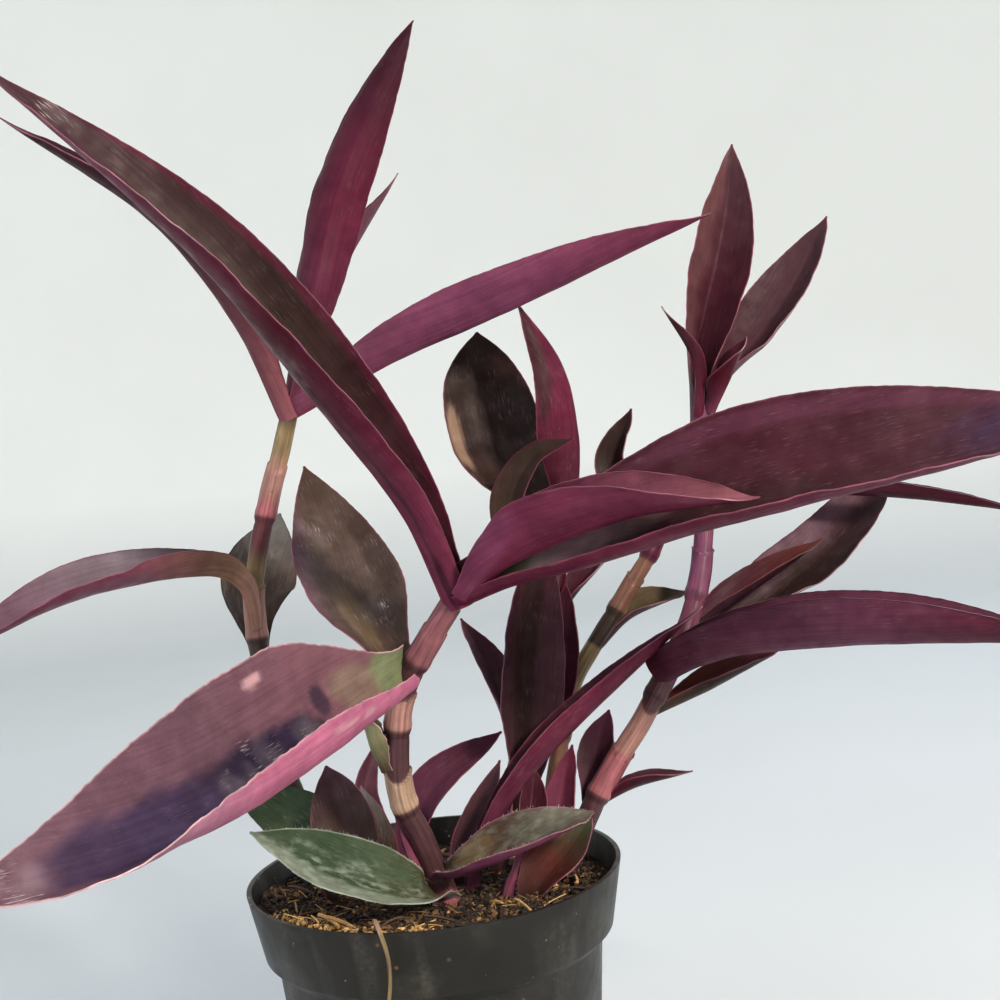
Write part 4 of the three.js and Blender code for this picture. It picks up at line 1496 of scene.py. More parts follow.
LEAVES = (
    Leaf("front_leaf_low", Slot.PLUM_LEAF, Blade(
        width=41, widest=0.34, base=0.42, keel=-0.42,
        left=(120, 120, 118, 105, 55, 12), right=(110, 95, 80, 62, 35, 15),
        facing=((0.1, -0.2, 0.95), (0.1, -0.35, 0.9), (0.05, -0.45, 0.85), (0, -0.68, 0.72), (0, -0.8, 0.55)),
        route=((1, -25, 141), (-9, -46, 137), (-30, -86, 130), (-50, -118, 129),
               (-74, -138, 130))),
        Look((Tint.BLUSH, Tint.MAUVE, Tint.MAUVE),
             (Tint.PINK, Tint.PINK, Tint.LILAC), dust=0.06, ragged=0.25, edge=Tint.PALE,
             scuffed=((0.3, -0.05, 5), (0.42, -0.1, 8), (0.5, -0.2, 5), (0.9, -0.4, 6)))),
    Leaf("front_leaf_broad", Slot.DARK_LEAF, Blade(
        width=29, widest=0.4, base=0.45, fold=(80, 40, 25, 20),
        facing=((0.2, -0.8, 0.6), (0.2, -0.7, 0.7)),
        route=((0, -22, 143), (-6, -17, 149), (-15, -4, 165), (-21, 8, 180), (-27, 18, 198))),
        Look((Tint.UMBER, Tint.BRONZE, Tint.UMBER),
             (Tint.UMBER, Tint.MAUVE, Tint.MAUVE), dust=0.2,
             scuffed=((0.7, -0.45, 7), (0.3, 0.3, 6)))),
    Leaf("front_leaf_tall", Slot.PLUM_LEAF, Blade(
        width=32, widest=0.4, base=0.5, fold=(120, 90, 75, 60, 40),
        facing=((0.8, -0.3, 0.4), (0.75, -0.45, 0.45), (0.7, -0.5, 0.5)),
        route=((11, -28, 160), (2, -35, 186), (-14, -43, 212), (-38, -56, 249), (-74, -72, 289))),
        Look((Tint.MAROON, Tint.COCOA, Tint.PLUM),
             (Tint.MAGENTA, Tint.CRIMSON, Tint.ROSE), dust=0.08, edge=Tint.ROSE,
             scuffed=((0.45, -0.3, 8), (0.9, 0.2, 6)))),
    Leaf("front_leaf_right", Slot.PLUM_LEAF, Blade(
        width=37, widest=0.5, base=0.42, keel=0.4,
        left=(110, 82, 62, 48, 35), right=(110, 90, 80, 70, 60, 40),
        facing=((-0.2, -0.5, 0.85), (0, -0.6, 0.8), (0, -0.62, 0.75)),
        route=((15, -30, 161), (29, -38, 166), (44, -44, 169), (76, -55, 177),
               (106, -63, 183), (135, -70, 189), (160, -76, 196))),
        Look((Tint.PLUM, Tint.MAROON, Tint.PLUM),
             (Tint.CLARET, Tint.CLARET, Tint.BERRY), dust=0.1)),
    Leaf("front_leaf_young", Slot.MAGENTA_LEAF, Blade(
        width=29, widest=0.35, base=0.42, left=(125, 120, 115, 110, 90), right=(90, 100, 75, 42, 25),
        facing=((-0.1, -0.3, 0.9), (-0.1, 0.1, 0.95), (-0.1, 0.1, 0.95), (-0.1, -0.15, 0.95)),
        route=((17, -32, 162), (28, -41, 171), (53, -55, 180), (83, -66, 183))),
        Look((Tint.PLUM, Tint.ROSE, Tint.RASPBERRY),
             (Tint.CLARET, Tint.MAGENTA, Tint.MAGENTA))),
    Leaf("left_leaf_up", Slot.MAGENTA_LEAF, Blade(
        width=22, widest=0.4, base=0.5, fold=(120, 70, 50, 30),
        facing=((0.7, -0.1, 0.7),) * 2,
        route=((-34, 31, 211), (-43, 22, 239), (-61, 11, 268), (-96, -2, 297))),
        Look((Tint.MAROON, Tint.WINE, Tint.WINE),
             (Tint.RASPBERRY, Tint.MAROON, Tint.WINE))),
    Leaf("left_leaf_out", Slot.PLUM_LEAF, Blade(
        width=23, widest=0.55, base=0.42, left=(140, 90, 50, 45, 40), right=(140, 110, 75, 65, 50),
        facing=((0.6, 0.75, 0.1), (0.1, 0.2, 1), (-0.1, -0.2, 1), (-0.1, -0.3, 1), (-0.1, -0.45, 0.9)),
        route=((-47, 23, 153), (-47.5, 22.5, 160), (-49, 20, 166), (-55, 13.5, 170.5),
               (-72, 2, 171), (-90, -9, 168), (-117, -22, 158))),
        Look((Tint.HEATHER, Tint.HEATHER, Tint.BERRY),
             (Tint.KHAKI, Tint.ROSE, Tint.MAGENTA), dust=0.1)),
    Leaf("left_leaf_across", Slot.MAGENTA_LEAF, Blade(
        width=29, widest=0.45, base=0.5, fold=(120, 85, 75, 50),
        facing=((-0.4, 0.1, 0.9), (-0.3, 0.1, 0.95)),
        route=((-30, 32, 212), (0, 25, 225), (37, 18, 237), (59, 13, 245), (90, 8, 256))),
        Look((Tint.MAROON,) * 3,
             (Tint.ROSE, Tint.ORCHID, Tint.MAGENTA))),
    Leaf("left_leaf_top", Slot.MAGENTA_LEAF, Blade(
        width=21, widest=0.5, base=0.6, fold=(110, 60, 50, 30),
        facing=((0.1, 1, 0.1), (0.3, 1, 0.1)),
        route=((-32, 30, 214), (-19, 35, 258), (-11, 36, 280), (0, 37, 301), (14, 38, 323))),
        Look((Tint.MAROON,) * 3,
             (Tint.BERRY, Tint.CLARET, Tint.WINE))),
    Leaf("left_leaf_inner", Slot.MAGENTA_LEAF, Blade(
        width=15, widest=0.4, base=0.5, fold=(120, 90, 70),
        facing=((-0.8, -0.3, 0.5),) * 2,
        route=((-30, 36, 215), (-15, 45, 252), (5, 49, 282))),
        Look((Tint.MAROON, Tint.MAROON, Tint.PLUM),
             (Tint.MAROON, Tint.BERRY, Tint.MAUVE), dust=0.1)),
    Leaf("left_leaf_shade", Slot.GREY_GREEN_LEAF, Blade(
        width=24, widest=0.45, base=0.4, fold=(80, 30, 20),
        facing=((0.2, -0.9, 0.4), (0.2, -0.8, 0.5)),
        route=((-47, 30, 145), (-48, 42, 162), (-41, 57, 184))),
        Look((Tint.BRONZE, Tint.BRONZE, Tint.SLATE), dust=0.2, edge=Tint.PLUM, silver=0.15)),
    Leaf("low_leaf_back_left", Slot.GREY_GREEN_LEAF, Blade(
        width=20, widest=0.45, base=0.5, fold=(60, 30, 20),
        facing=((-0.3, -0.5, 0.8),) * 2,
        route=((-22, 2, 77), (-28, 5, 93), (-40, 9, 103), (-55, 15, 111))),
        Look((Tint.COCOA, Tint.MOSS, Tint.MOSS), dust=0.2, edge=Tint.PLUM)),
    Leaf("low_leaf_plum", Slot.PLUM_LEAF, Blade(
        width=19, widest=0.4, base=0.7, blunt=3, fold=(50, 30, 20),
        facing=((0, -1, 0.1),) * 2,
        route=((-21, -6, 77), (-22, -5, 92), (-23, -2, 103), (-27, 4, 117))),
        Look((Tint.COCOA, Tint.UMBER, Tint.PLUM), dust=0.15)),
    Leaf("low_leaf_slate", Slot.GREY_GREEN_LEAF, Blade(
        width=11, widest=0.4, base=0.5, fold=(50, 30, 20),
        facing=((0.2, -1, 0.2),) * 2,
        route=((-12, 0, 77), (-14, 2, 88), (-16, 6, 100), (-19, 11, 109))),
        Look((Tint.COCOA, Tint.UMBER, Tint.SLATE), dust=0.25)),
    Leaf("low_leaf_dark", Slot.PLUM_LEAF, Blade(
        width=10, widest=0.4, base=0.5, fold=(60, 50, 40),
        facing=((0.4, -1, 0.2),) * 2,
        route=((-13, 10, 77), (-15, 12, 90), (-19, 18, 105), (-14, 25, 119))),
        Look((Tint.MAROON, Tint.PLUM, Tint.BERRY))),
    Leaf("low_leaf_silver", Slot.GREY_GREEN_LEAF, Blade(
        width=19, widest=0.45, base=0.45, fold=(70, 40, 25),
        facing=((-0.2, -0.6, 0.8), (-0.3, -0.5, 0.8)),
        route=((4, -17, 84), (-3, -27, 89), (-19, -32, 98), (-31, -30, 104), (-43, -27, 109))),
        Look((Tint.OLIVE, Tint.MOSS, Tint.MOSS), dust=0.2, edge=Tint.FROST, hairy=0.6, silver=0.5)),
    Leaf("low_leaf_right", Slot.GREY_GREEN_LEAF, Blade(
        width=18, widest=0.5, base=0.4, left=(70, 35, 25), right=(110, 110, 90, 50),
        facing=((0, -0.7, 0.7),) * 2,
        route=((2, -17, 90), (9, -24, 93), (24, -26, 99), (33, -24, 102), (43, -20, 104.5))),
        Look((Tint.OLIVE, Tint.UMBER, Tint.BRONZE),
             (Tint.BERRY, Tint.ORCHID, Tint.ORCHID), dust=0.15, edge=Tint.BLUSH, hairy=0.6, silver=0.15)),
    Leaf("low_leaf_rose", Slot.MAGENTA_LEAF, Blade(
        width=17, widest=0.5, base=0.4, fold=(60, 45, 25),
        facing=((-0.4, -0.6, 0.5),) * 2,
        route=((23, -15, 77), (28, -13, 85), (35, -10, 91), (43, -6, 99))),
        Look((Tint.COCOA, Tint.RUST, Tint.MOSS),
             (Tint.ROSE,) * 3, dust=0.1, hairy=0.4)),
    Leaf("middle_leaf_channel", Slot.DARK_LEAF, Blade(
        width=26, widest=0.45, base=0.5, fold=(110, 70, 60, 50),
        facing=((0.3, -1, 0), (0.4, -1, 0)),
        route=((20, 15, 95), (24, 14, 105), (27, 13, 126), (30, 14, 146), (37, 17, 177))),
        Look((Tint.PLUM, Tint.PLUM, Tint.MAROON), dust=0.1, edge=Tint.BERRY)),
    Leaf("middle_leaf_small", Slot.PLUM_LEAF, Blade(
        width=14, widest=0.4, base=0.5, fold=(80, 50, 30),
        facing=((0.5, -0.6, 0.6),) * 2,
        route=((24, 20, 114), (20, 25, 132), (12, 32, 150))),
        Look((Tint.PLUM, Tint.PLUM, Tint.MAROON))),
    Leaf("middle_leaf_behind", Slot.DARK_LEAF, Blade(
        width=16, widest=0.4, base=0.5, fold=(80, 60, 40),
        facing=((-0.3, -0.9, 0.2),) * 2,
        route=((34, 22, 112), (40, 24, 135), (43, 27, 158))),
        Look((Tint.MAROON,) * 3)),
    Leaf("middle_leaf_round", Slot.DARK_LEAF, Blade(
        width=29, widest=0.5, base=0.5, blunt=3, fold=(80, 30, 20),
        facing=((0.1, -1, 0.2),) * 2,
        route=((45, 36, 173), (30, 40, 193), (25, 44, 211), (24, 48, 233))),
        Look((Tint.UMBER, Tint.COCOA, Tint.COCOA), dust=0.15)),
    Leaf("middle_leaf_top", Slot.MAGENTA_LEAF, Blade(
        width=26, widest=0.4, base=0.5, fold=(100, 75, 50),
        facing=((-0.9, 0.2, 0.3),) * 2,
        route=((48, 33, 176), (50, 27, 200), (47, 25, 220), (36, 22, 238))),
        Look((Tint.MAROON,) * 3,
             (Tint.MAROON, Tint.CLARET, Tint.CLARET), dust=0.1)),
    Leaf("middle_leaf_bud", Slot.PLUM_LEAF, Blade(
        width=14, widest=0.45, base=0.5, fold=(80, 45, 30),
        facing=((-0.4, -0.8, 0.4),) * 2,
        route=((38, 29, 150), (33, 25, 168), (30, 20, 183), (37, 17, 195), (48, 15, 199))),
        Look((Tint.CLARET, Tint.UMBER, Tint.COCOA), edge=Tint.CLARET)),
    Leaf("olive_leaf_tip", Slot.DARK_LEAF, Blade(
        width=14, widest=0.4, base=0.5, fold=(80, 60, 50),
        facing=((-0.5, -0.8, 0.3),) * 2,
        route=((72, 34, 173), (64, 36, 184), (61, 37, 192), (67, 38, 206))),
        Look((Tint.WINE, Tint.COCOA, Tint.COCOA))),
    Leaf("heart_leaf_long", Slot.MAGENTA_LEAF, Blade(
        width=17, widest=0.5, base=0.4, fold=(110, 80, 70, 50),
        facing=((-0.5, 0, 0.8),) * 2,
        route=((9, -9, 76), (15, -6, 94), (29, -3, 112), (51, 5, 129), (80, 18, 149))),
        Look((Tint.WINE, Tint.MAROON, Tint.MAROON),
             (Tint.BERRY, Tint.CLARET, Tint.CLARET), dust=0.1)),
    Leaf("heart_leaf_left", Slot.PLUM_LEAF, Blade(
        width=14, widest=0.5, base=0.5, fold=(80, 50, 40),
        facing=((-0.3, -0.8, 0.4),) * 2,
        route=((-8, 12, 76), (-5, 14, 95), (2, 15, 107), (21, 18, 119))),
        Look((Tint.MAROON, Tint.BERRY, Tint.MAROON), dust=0.1)),
    Leaf("heart_leaf_small", Slot.PLUM_LEAF, Blade(
        width=11, widest=0.45, base=0.5, fold=(80, 60, 40),
        facing=((-0.5, -0.8, 0.2),) * 2,
        route=((7, 1, 76), (9, 1, 90), (14, 2, 101), (20, 5, 114))),
        Look((Tint.PLUM,) * 3)),
    Leaf("heart_leaf_upright", Slot.MAGENTA_LEAF, Blade(
        width=14, widest=0.4, base=0.6, fold=(90, 70, 50),
        facing=((-0.2, -0.9, 0.2),) * 2,
        route=((33, 0, 76), (34, 2, 92), (36, 4, 103), (40, 7, 116))),
        Look((Tint.ROSE, Tint.ROSE, Tint.CLARET))),
    Leaf("heart_leaf_low", Slot.DARK_LEAF, Blade(
        width=12, widest=0.4, base=0.6, fold=(90, 70, 50),
        facing=((0.2, -0.9, 0.2),) * 2,
        route=((25, -7, 91), (27, -3, 102), (29, 2, 112))),
        Look((Tint.MAROON,) * 3)),
    Leaf("right_leaf_round", Slot.PLUM_LEAF, Blade(
        width=12, widest=0.55, base=0.5, fold=(70, 40, 30),
        facing=((-0.4, -0.8, 0.4),) * 2,
        route=((44, 13, 95), (46, 18, 103), (48, 22, 111), (52, 25, 121))),
        Look((Tint.BERRY, Tint.PLUM, Tint.BERRY))),
    Leaf("right_leaf_thin", Slot.MAGENTA_LEAF, Blade(
        width=9, widest=0.4, base=0.5, fold=(90, 70, 60),
        facing=((-0.2, 0, 1),) * 2,
        route=((46, 13, 97), (57, 11, 102), (72, 6, 106))),
        Look((Tint.MAROON, Tint.PLUM, Tint.PLUM),
             (Tint.CRIMSON, Tint.MAROON, Tint.MAROON))),
    Leaf("olive_leaf_right", Slot.DARK_LEAF, Blade(
        width=14, widest=0.5, base=0.5, fold=(100, 60, 40),
        facing=((-0.3, -0.5, 0.8),) * 2,
        route=((51, 29, 138), (62, 36, 146), (79, 40, 151))),
        Look((Tint.COCOA, Tint.OLIVE, Tint.UMBER),
             (Tint.MAROON, Tint.PLUM, Tint.PLUM))),
    Leaf("olive_leaf_left", Slot.PLUM_LEAF, Blade(
        width=11, widest=0.5, base=0.5, fold=(100, 60, 40),
        facing=((-0.6, -0.6, 0.5),) * 2,
        route=((39, 30, 146), (47, 32, 156), (59, 36, 167))),
        Look((Tint.WINE, Tint.MAROON, Tint.PLUM),
             (Tint.WINE, Tint.MAROON, Tint.MAROON))),
    Leaf("right_leaf_long", Slot.MAGENTA_LEAF, Blade(
        width=33, widest=0.45, base=0.6, fold=(120, 95, 80, 60),
        facing=((-0.3, 0, 0.95), (-0.1, 0.05, 1), (-0.1, 0.05, 1)),
        route=((67, 15, 129), (78, 6, 135), (95, 0, 138), (133, -15, 139), (168, -26, 137))),
        Look((Tint.MAROON, Tint.BERRY, Tint.MAROON),
             (Tint.MAROON, Tint.BERRY, Tint.CRIMSON), dust=0.1, edge=Tint.MAROON)),
    Leaf("right_leaf_under", Slot.DARK_LEAF, Blade(
        width=14, widest=0.5, base=0.5, fold=(110, 70, 50),
        facing=((-0.3, -0.3, 0.9),) * 2,
        route=((64, 17, 120), (82, 24, 125), (102, 28, 133))),
        Look((Tint.RUST, Tint.RUST, Tint.MAROON),
             (Tint.UMBER, Tint.COCOA, Tint.COCOA))),
    Leaf("right_leaf_rust", Slot.PLUM_LEAF, Blade(
        width=15, widest=0.45, base=0.5, fold=(110, 70, 50),
        facing=((-0.5, -0.4, 0.8),) * 2,
        route=((74, 21, 138), (82, 29, 142), (95, 34, 149), (120, 39, 163))),
        Look((Tint.BERRY, Tint.MAROON, Tint.RUST),
             (Tint.WINE,) * 3, edge=Tint.RUST)),
    Leaf("right_leaf_shade", Slot.DARK_LEAF, Blade(
        width=25, widest=0.5, base=0.5, fold=(110, 50, 30),
        facing=((-0.5, -0.7, 0.5),) * 2,
        route=((68, 19, 128), (78, 30, 134), (90, 38, 139), (105, 42, 147), (122, 47, 157),
               (135, 52, 169), (144, 56, 182), (149, 59, 194))),
        # Its left tint paints light on the left half of the upper face.
        Look((Tint.MAROON, Tint.COCOA, Tint.PLUM), dust=0.1, left=Tint.MAUVE, edge=Tint.CLARET)),
    Leaf("right_leaf_edge", Slot.MAGENTA_LEAF, Blade(
        width=12, widest=0.45, base=0.5, fold=(100, 80, 60),
        facing=((0, 0, 1),) * 2,
        route=((87, 35, 177), (104, 39, 178), (123, 40, 176), (150, 36, 172), (182, 26, 165))),
        Look((Tint.MAROON,) * 3,
             (Tint.MAROON, Tint.MAROON, Tint.CRIMSON), edge=Tint.MAROON)),
    Leaf("crown_leaf_tall", Slot.PLUM_LEAF, Blade(
        width=24, widest=0.5, base=0.5, fold=(120, 70, 55, 40),
        facing=((0.2, -1, 0), (0, -1, 0.1)),
        route=((85, 41, 200), (89, 44, 224), (97, 47, 248), (102, 50, 265), (105, 51, 282))),
        # Its left tint paints light on the left half of the upper face.
        Look((Tint.WINE, Tint.MAROON, Tint.PLUM), left=Tint.CLAY)),
    Leaf("crown_leaf_right", Slot.PLUM_LEAF, Blade(
        width=23, widest=0.5, base=0.5, fold=(120, 60, 50, 30),
        facing=((-0.5, -0.8, 0.3), (-0.6, -0.7, 0.4)),
        route=((88, 40, 203), (98, 47, 214), (111, 54, 226), (124, 60, 242), (135, 65, 260))),
        Look((Tint.MAROON, Tint.PLUM, Tint.PLUM))),
    Leaf("crown_leaf_thin", Slot.MAGENTA_LEAF, Blade(
        width=8, widest=0.3, base=0.8, fold=(120, 120, 90),
        facing=((0.4, 0.5, 0.5), (0.8, 0, 0.5)),
        route=((85, 34, 202), (85, 30, 218), (77, 28, 234))),
        Look((Tint.MAROON,) * 3,
             (Tint.CLARET, Tint.MAROON, Tint.PLUM))),
    Leaf("crown_leaf_small", Slot.MAGENTA_LEAF, Blade(
        width=13, widest=0.45, base=0.5, fold=(110, 80, 60),
        facing=((-0.3, 0.6, 0.5), (-0.7, -0.5, 0.4)),
        route=((90, 35, 202), (95, 30, 212), (100, 26, 223))),
        Look((Tint.CRIMSON, Tint.MAROON, Tint.MAROON),
             (Tint.ROSE, Tint.CRIMSON, Tint.MAROON))),
    Leaf("front_petiole", Slot.MAGENTA_LEAF, Blade(
        width=4.5, widest=0.3, base=0.8, blunt=4, fold=(150, 150),
        facing=((0.3, 0.9, 0),) * 2,
        route=((-7, -19, 109), (-6, -19.5, 101.5), (-4, -20.5, 94.5), (-2, -22, 88))),
        Look((Tint.BERRY, Tint.ROSE, Tint.RASPBERRY),
             (Tint.BERRY, Tint.ROSE, Tint.RASPBERRY))),
    Leaf("front_sheath", Slot.GREEN_SHEATH, Blade(
        width=11, widest=0.5, base=0.6, fold=(110, 90, 60),
        facing=((1, 0.2, 0),) * 2,
        route=((-9, -23, 120), (-11, -24, 126), (-12, -26, 132), (-13, -28, 138))),
        Look((Tint.UMBER, Tint.OLIVE, Tint.TAN),
             (Tint.UMBER, Tint.TAN, Tint.TAN), dust=0.1, ragged=0.4, edge=Tint.PALE)),
)

STEMS = (
    Stem("front_stem", Slot.PINK_STEM, (3.3, 2.9), (0.235, 0.487, 0.682, 0.845), 9.5,
         ((5, -12, 58), (4, -16, 80), (-1, -18, 100), (-5, -20, 112), (-5, -22, 126), (-2, -24, 140),
          (6, -26, 153), (12, -27, 161)),
         (Band(0, Tint.MAHOGANY), Band(0.235, Tint.STUB), Band(0.29, Tint.BARK, True), Band(0.487, Tint.CUP),
          Band(0.576, Tint.BARK, True), Band(0.682, Tint.SHELL), Band(0.771, Tint.BARK, True),
          Band(0.845, Tint.RASPBERRY))),
    Stem("left_stem", Slot.PINK_STEM, (3.2, 2.5), (0.34, 0.58, 0.79), 15,
         ((-22, 12, 58), (-29, 16, 80), (-37, 21, 100), (-42, 24, 115), (-46, 27, 147), (-46, 29, 165),
          (-41, 30, 185), (-33, 32, 209), (-31, 33, 218)),
         (Band(0, Tint.UMBER), Band(0.34, Tint.CUP), Band(0.385, Tint.MAHOGANY, True, 2),
          Band(0.53, Tint.UMBER, soft=2), Band(0.58, Tint.SHELL), Band(0.66, Tint.KHAKI, soft=5),
          Band(0.72, Tint.MAHOGANY, soft=4), Band(0.79, Tint.STUB), Band(0.82, Tint.SHELL, soft=3),
          Band(0.89, Tint.KHAKI, soft=4), Band(0.95, Tint.OLIVE, soft=3))),
    Stem("middle_stem", Slot.PINK_STEM, (2.8, 2), (0.3, 0.55, 0.8), 10,
         ((12, 10, 58), (16, 13, 80), (23, 18, 105), (33, 26, 135), (41, 32, 160), (46, 35, 180)),
         (Band(0, Tint.BARK), Band(0.3, Tint.RASPBERRY), Band(0.42, Tint.BARK, True),
          Band(0.55, Tint.RASPBERRY), Band(0.67, Tint.CRIMSON, True))),
    Stem("olive_stem", Slot.PINK_STEM, (2.7, 2.2), (0.45, 0.75, 0.89), 11,
         ((24, 14, 58), (30, 20, 80), (37, 24, 112), (43, 26, 130), (57, 30, 149), (69, 33, 165),
          (74, 35, 176)),
         (Band(0, Tint.BARK), Band(0.33, Tint.SIENNA), Band(0.5, Tint.KHAKI, soft=5), Band(0.66, Tint.UMBER),
          Band(0.75, Tint.SIENNA), Band(0.88, Tint.CLARET), Band(0.92, Tint.COCOA))),
    Stem("right_stem", Slot.PINK_STEM, (3.1, 2.6), (0.28, 0.47, 0.66, 0.94), 14,
         ((30, 4, 58), (35, 8, 80), (41, 11, 92), (50, 13, 106), (60, 15, 119), (70, 18, 134),
          (79, 25, 150), (84, 31, 168), (86, 36, 190), (87, 38, 205)),
         (Band(0, Tint.BARK), Band(0.28, Tint.STUB), Band(0.36, Tint.SHELL), Band(0.45, Tint.BARK, True),
          Band(0.5, Tint.ROSE), Band(0.66, Tint.ORCHID), Band(0.78, Tint.ROSE, True),
          Band(0.9, Tint.ORCHID))),
    Stem("young_stem", Slot.MAGENTA_LEAF, (1.7, 1.4), (), 0,
         ((16, -14, 66), (19, -12, 82), (22, -10, 88), (25, -7, 95)),
         (Band(0, Tint.ROSE), Band(0.6, Tint.MAGENTA))),
    Stem("root_fibre", Slot.FIBRE, (0.5, 0.35), (), 0,
         ((-12, -39, 83), (-12, -46, 90), (-11, -51, 91), (-9, -53, 85), (-9, -52, 79), (-10, -51, 72)),
         (Band(0, Tint.CUP), Band(0.5, Tint.KHAKI))),
)


@dataclass(frozen=True)
class Pot:
    """Round nursery pot with a plain band under its rim, turned and pierced with drain holes."""

    height: float = 88.0
    rim_radius: float = 50.0
    band_height: float = 17.0
    band_taper: float = 3.4
    step_width: float = 3.2
    step_height: float = 3.0
    foot_radius: float = 37.0
    foot_chamfer: float = 1.5
    wall: float = 1.3
    floor: float = 2.0
    drains: int = 8
    drain_radius: float = 3.5
    drain_circle: float = 29.0
    rounding: float = 0.35

    SIDES = 144
    ROUND_ABOVE = 24
    SMOOTH_BELOW = 40

    @property
    def band_foot(self) -> float:
        """Height of the band's lower edge."""
        return self.height - self.band_height

    @property
    def step_foot(self) -> float:
        """Height where the wall starts to step out under the band."""
        return self.band_foot - self.step_height

    def inner_radius(self, z: float) -> float:
        """Give the radius of the pot's inside.

        Args:
            z: Height in millimetres.

        Returns:
            Radius in millimetres.
        """
        band = self.rim_radius - self.band_taper - self.wall
        heights = (0, self.step_foot, self.band_foot, self.height)
        radii = (self.foot_radius - self.wall, band - self.step_width, band, self.rim_radius - self.wall)
        return float(np.interp(z, heights, radii))

    def build(self, finishes: Finishes) -> Object:
        """Turn the pot from a disc and pierce its floor.

        Args:
            finishes: Materials.

        Returns:
            The finished pot.
        """
        band = self.rim_radius - self.band_taper
        profile = (
            (self.foot_radius, self.foot_chamfer),
            (band - self.step_width, self.step_foot),
            (band, self.band_foot),
            (self.rim_radius, self.height),
            (self.rim_radius - self.wall, self.height),
            (self.inner_radius(self.band_foot), self.band_foot),
            (self.inner_radius(self.step_foot), self.step_foot),
            (self.inner_radius(self.floor), self.floor),
        )
        start = self.foot_radius - self.foot_chamfer
        piece = primitive(bpy.ops.mesh.primitive_circle_add, "nursery_pot", vertices=self.SIDES,
                          radius=start * MM, fill_type="NGON")
        open_mesh(piece)
        extrude_rings(start, profile)
        close_mesh()
        self.pierce(piece)
        modify(piece, "BEVEL", width=self.rounding * MM, segments=2, limit_method="ANGLE",
               angle_limit=math.radians(self.ROUND_ABOVE))
        soften(piece, self.SMOOTH_BELOW)
        dress(piece, finishes.pot)
        return piece

    def pierce(self, piece: Object) -> None:
        """Cut the drain holes through the floor.

        Args:
            piece: Pot to pierce.
        """
        for index in range(self.drains):
            angle = index / self.drains * 2 * math.pi
            x, y = self.drain_circle * math.cos(angle), self.drain_circle * math.sin(angle)
            cutter = primitive(bpy.ops.mesh.primitive_cylinder_add, "drain_cutter", vertices=32,
                               radius=self.drain_radius * MM, depth=self.floor * 3 * MM,
                               location=(x * MM, y * MM, self.floor / 2 * MM))
            modify(piece, "BOOLEAN", operation="DIFFERENCE", object=cutter, solver="EXACT")
            bpy.data.objects.remove(cutter)


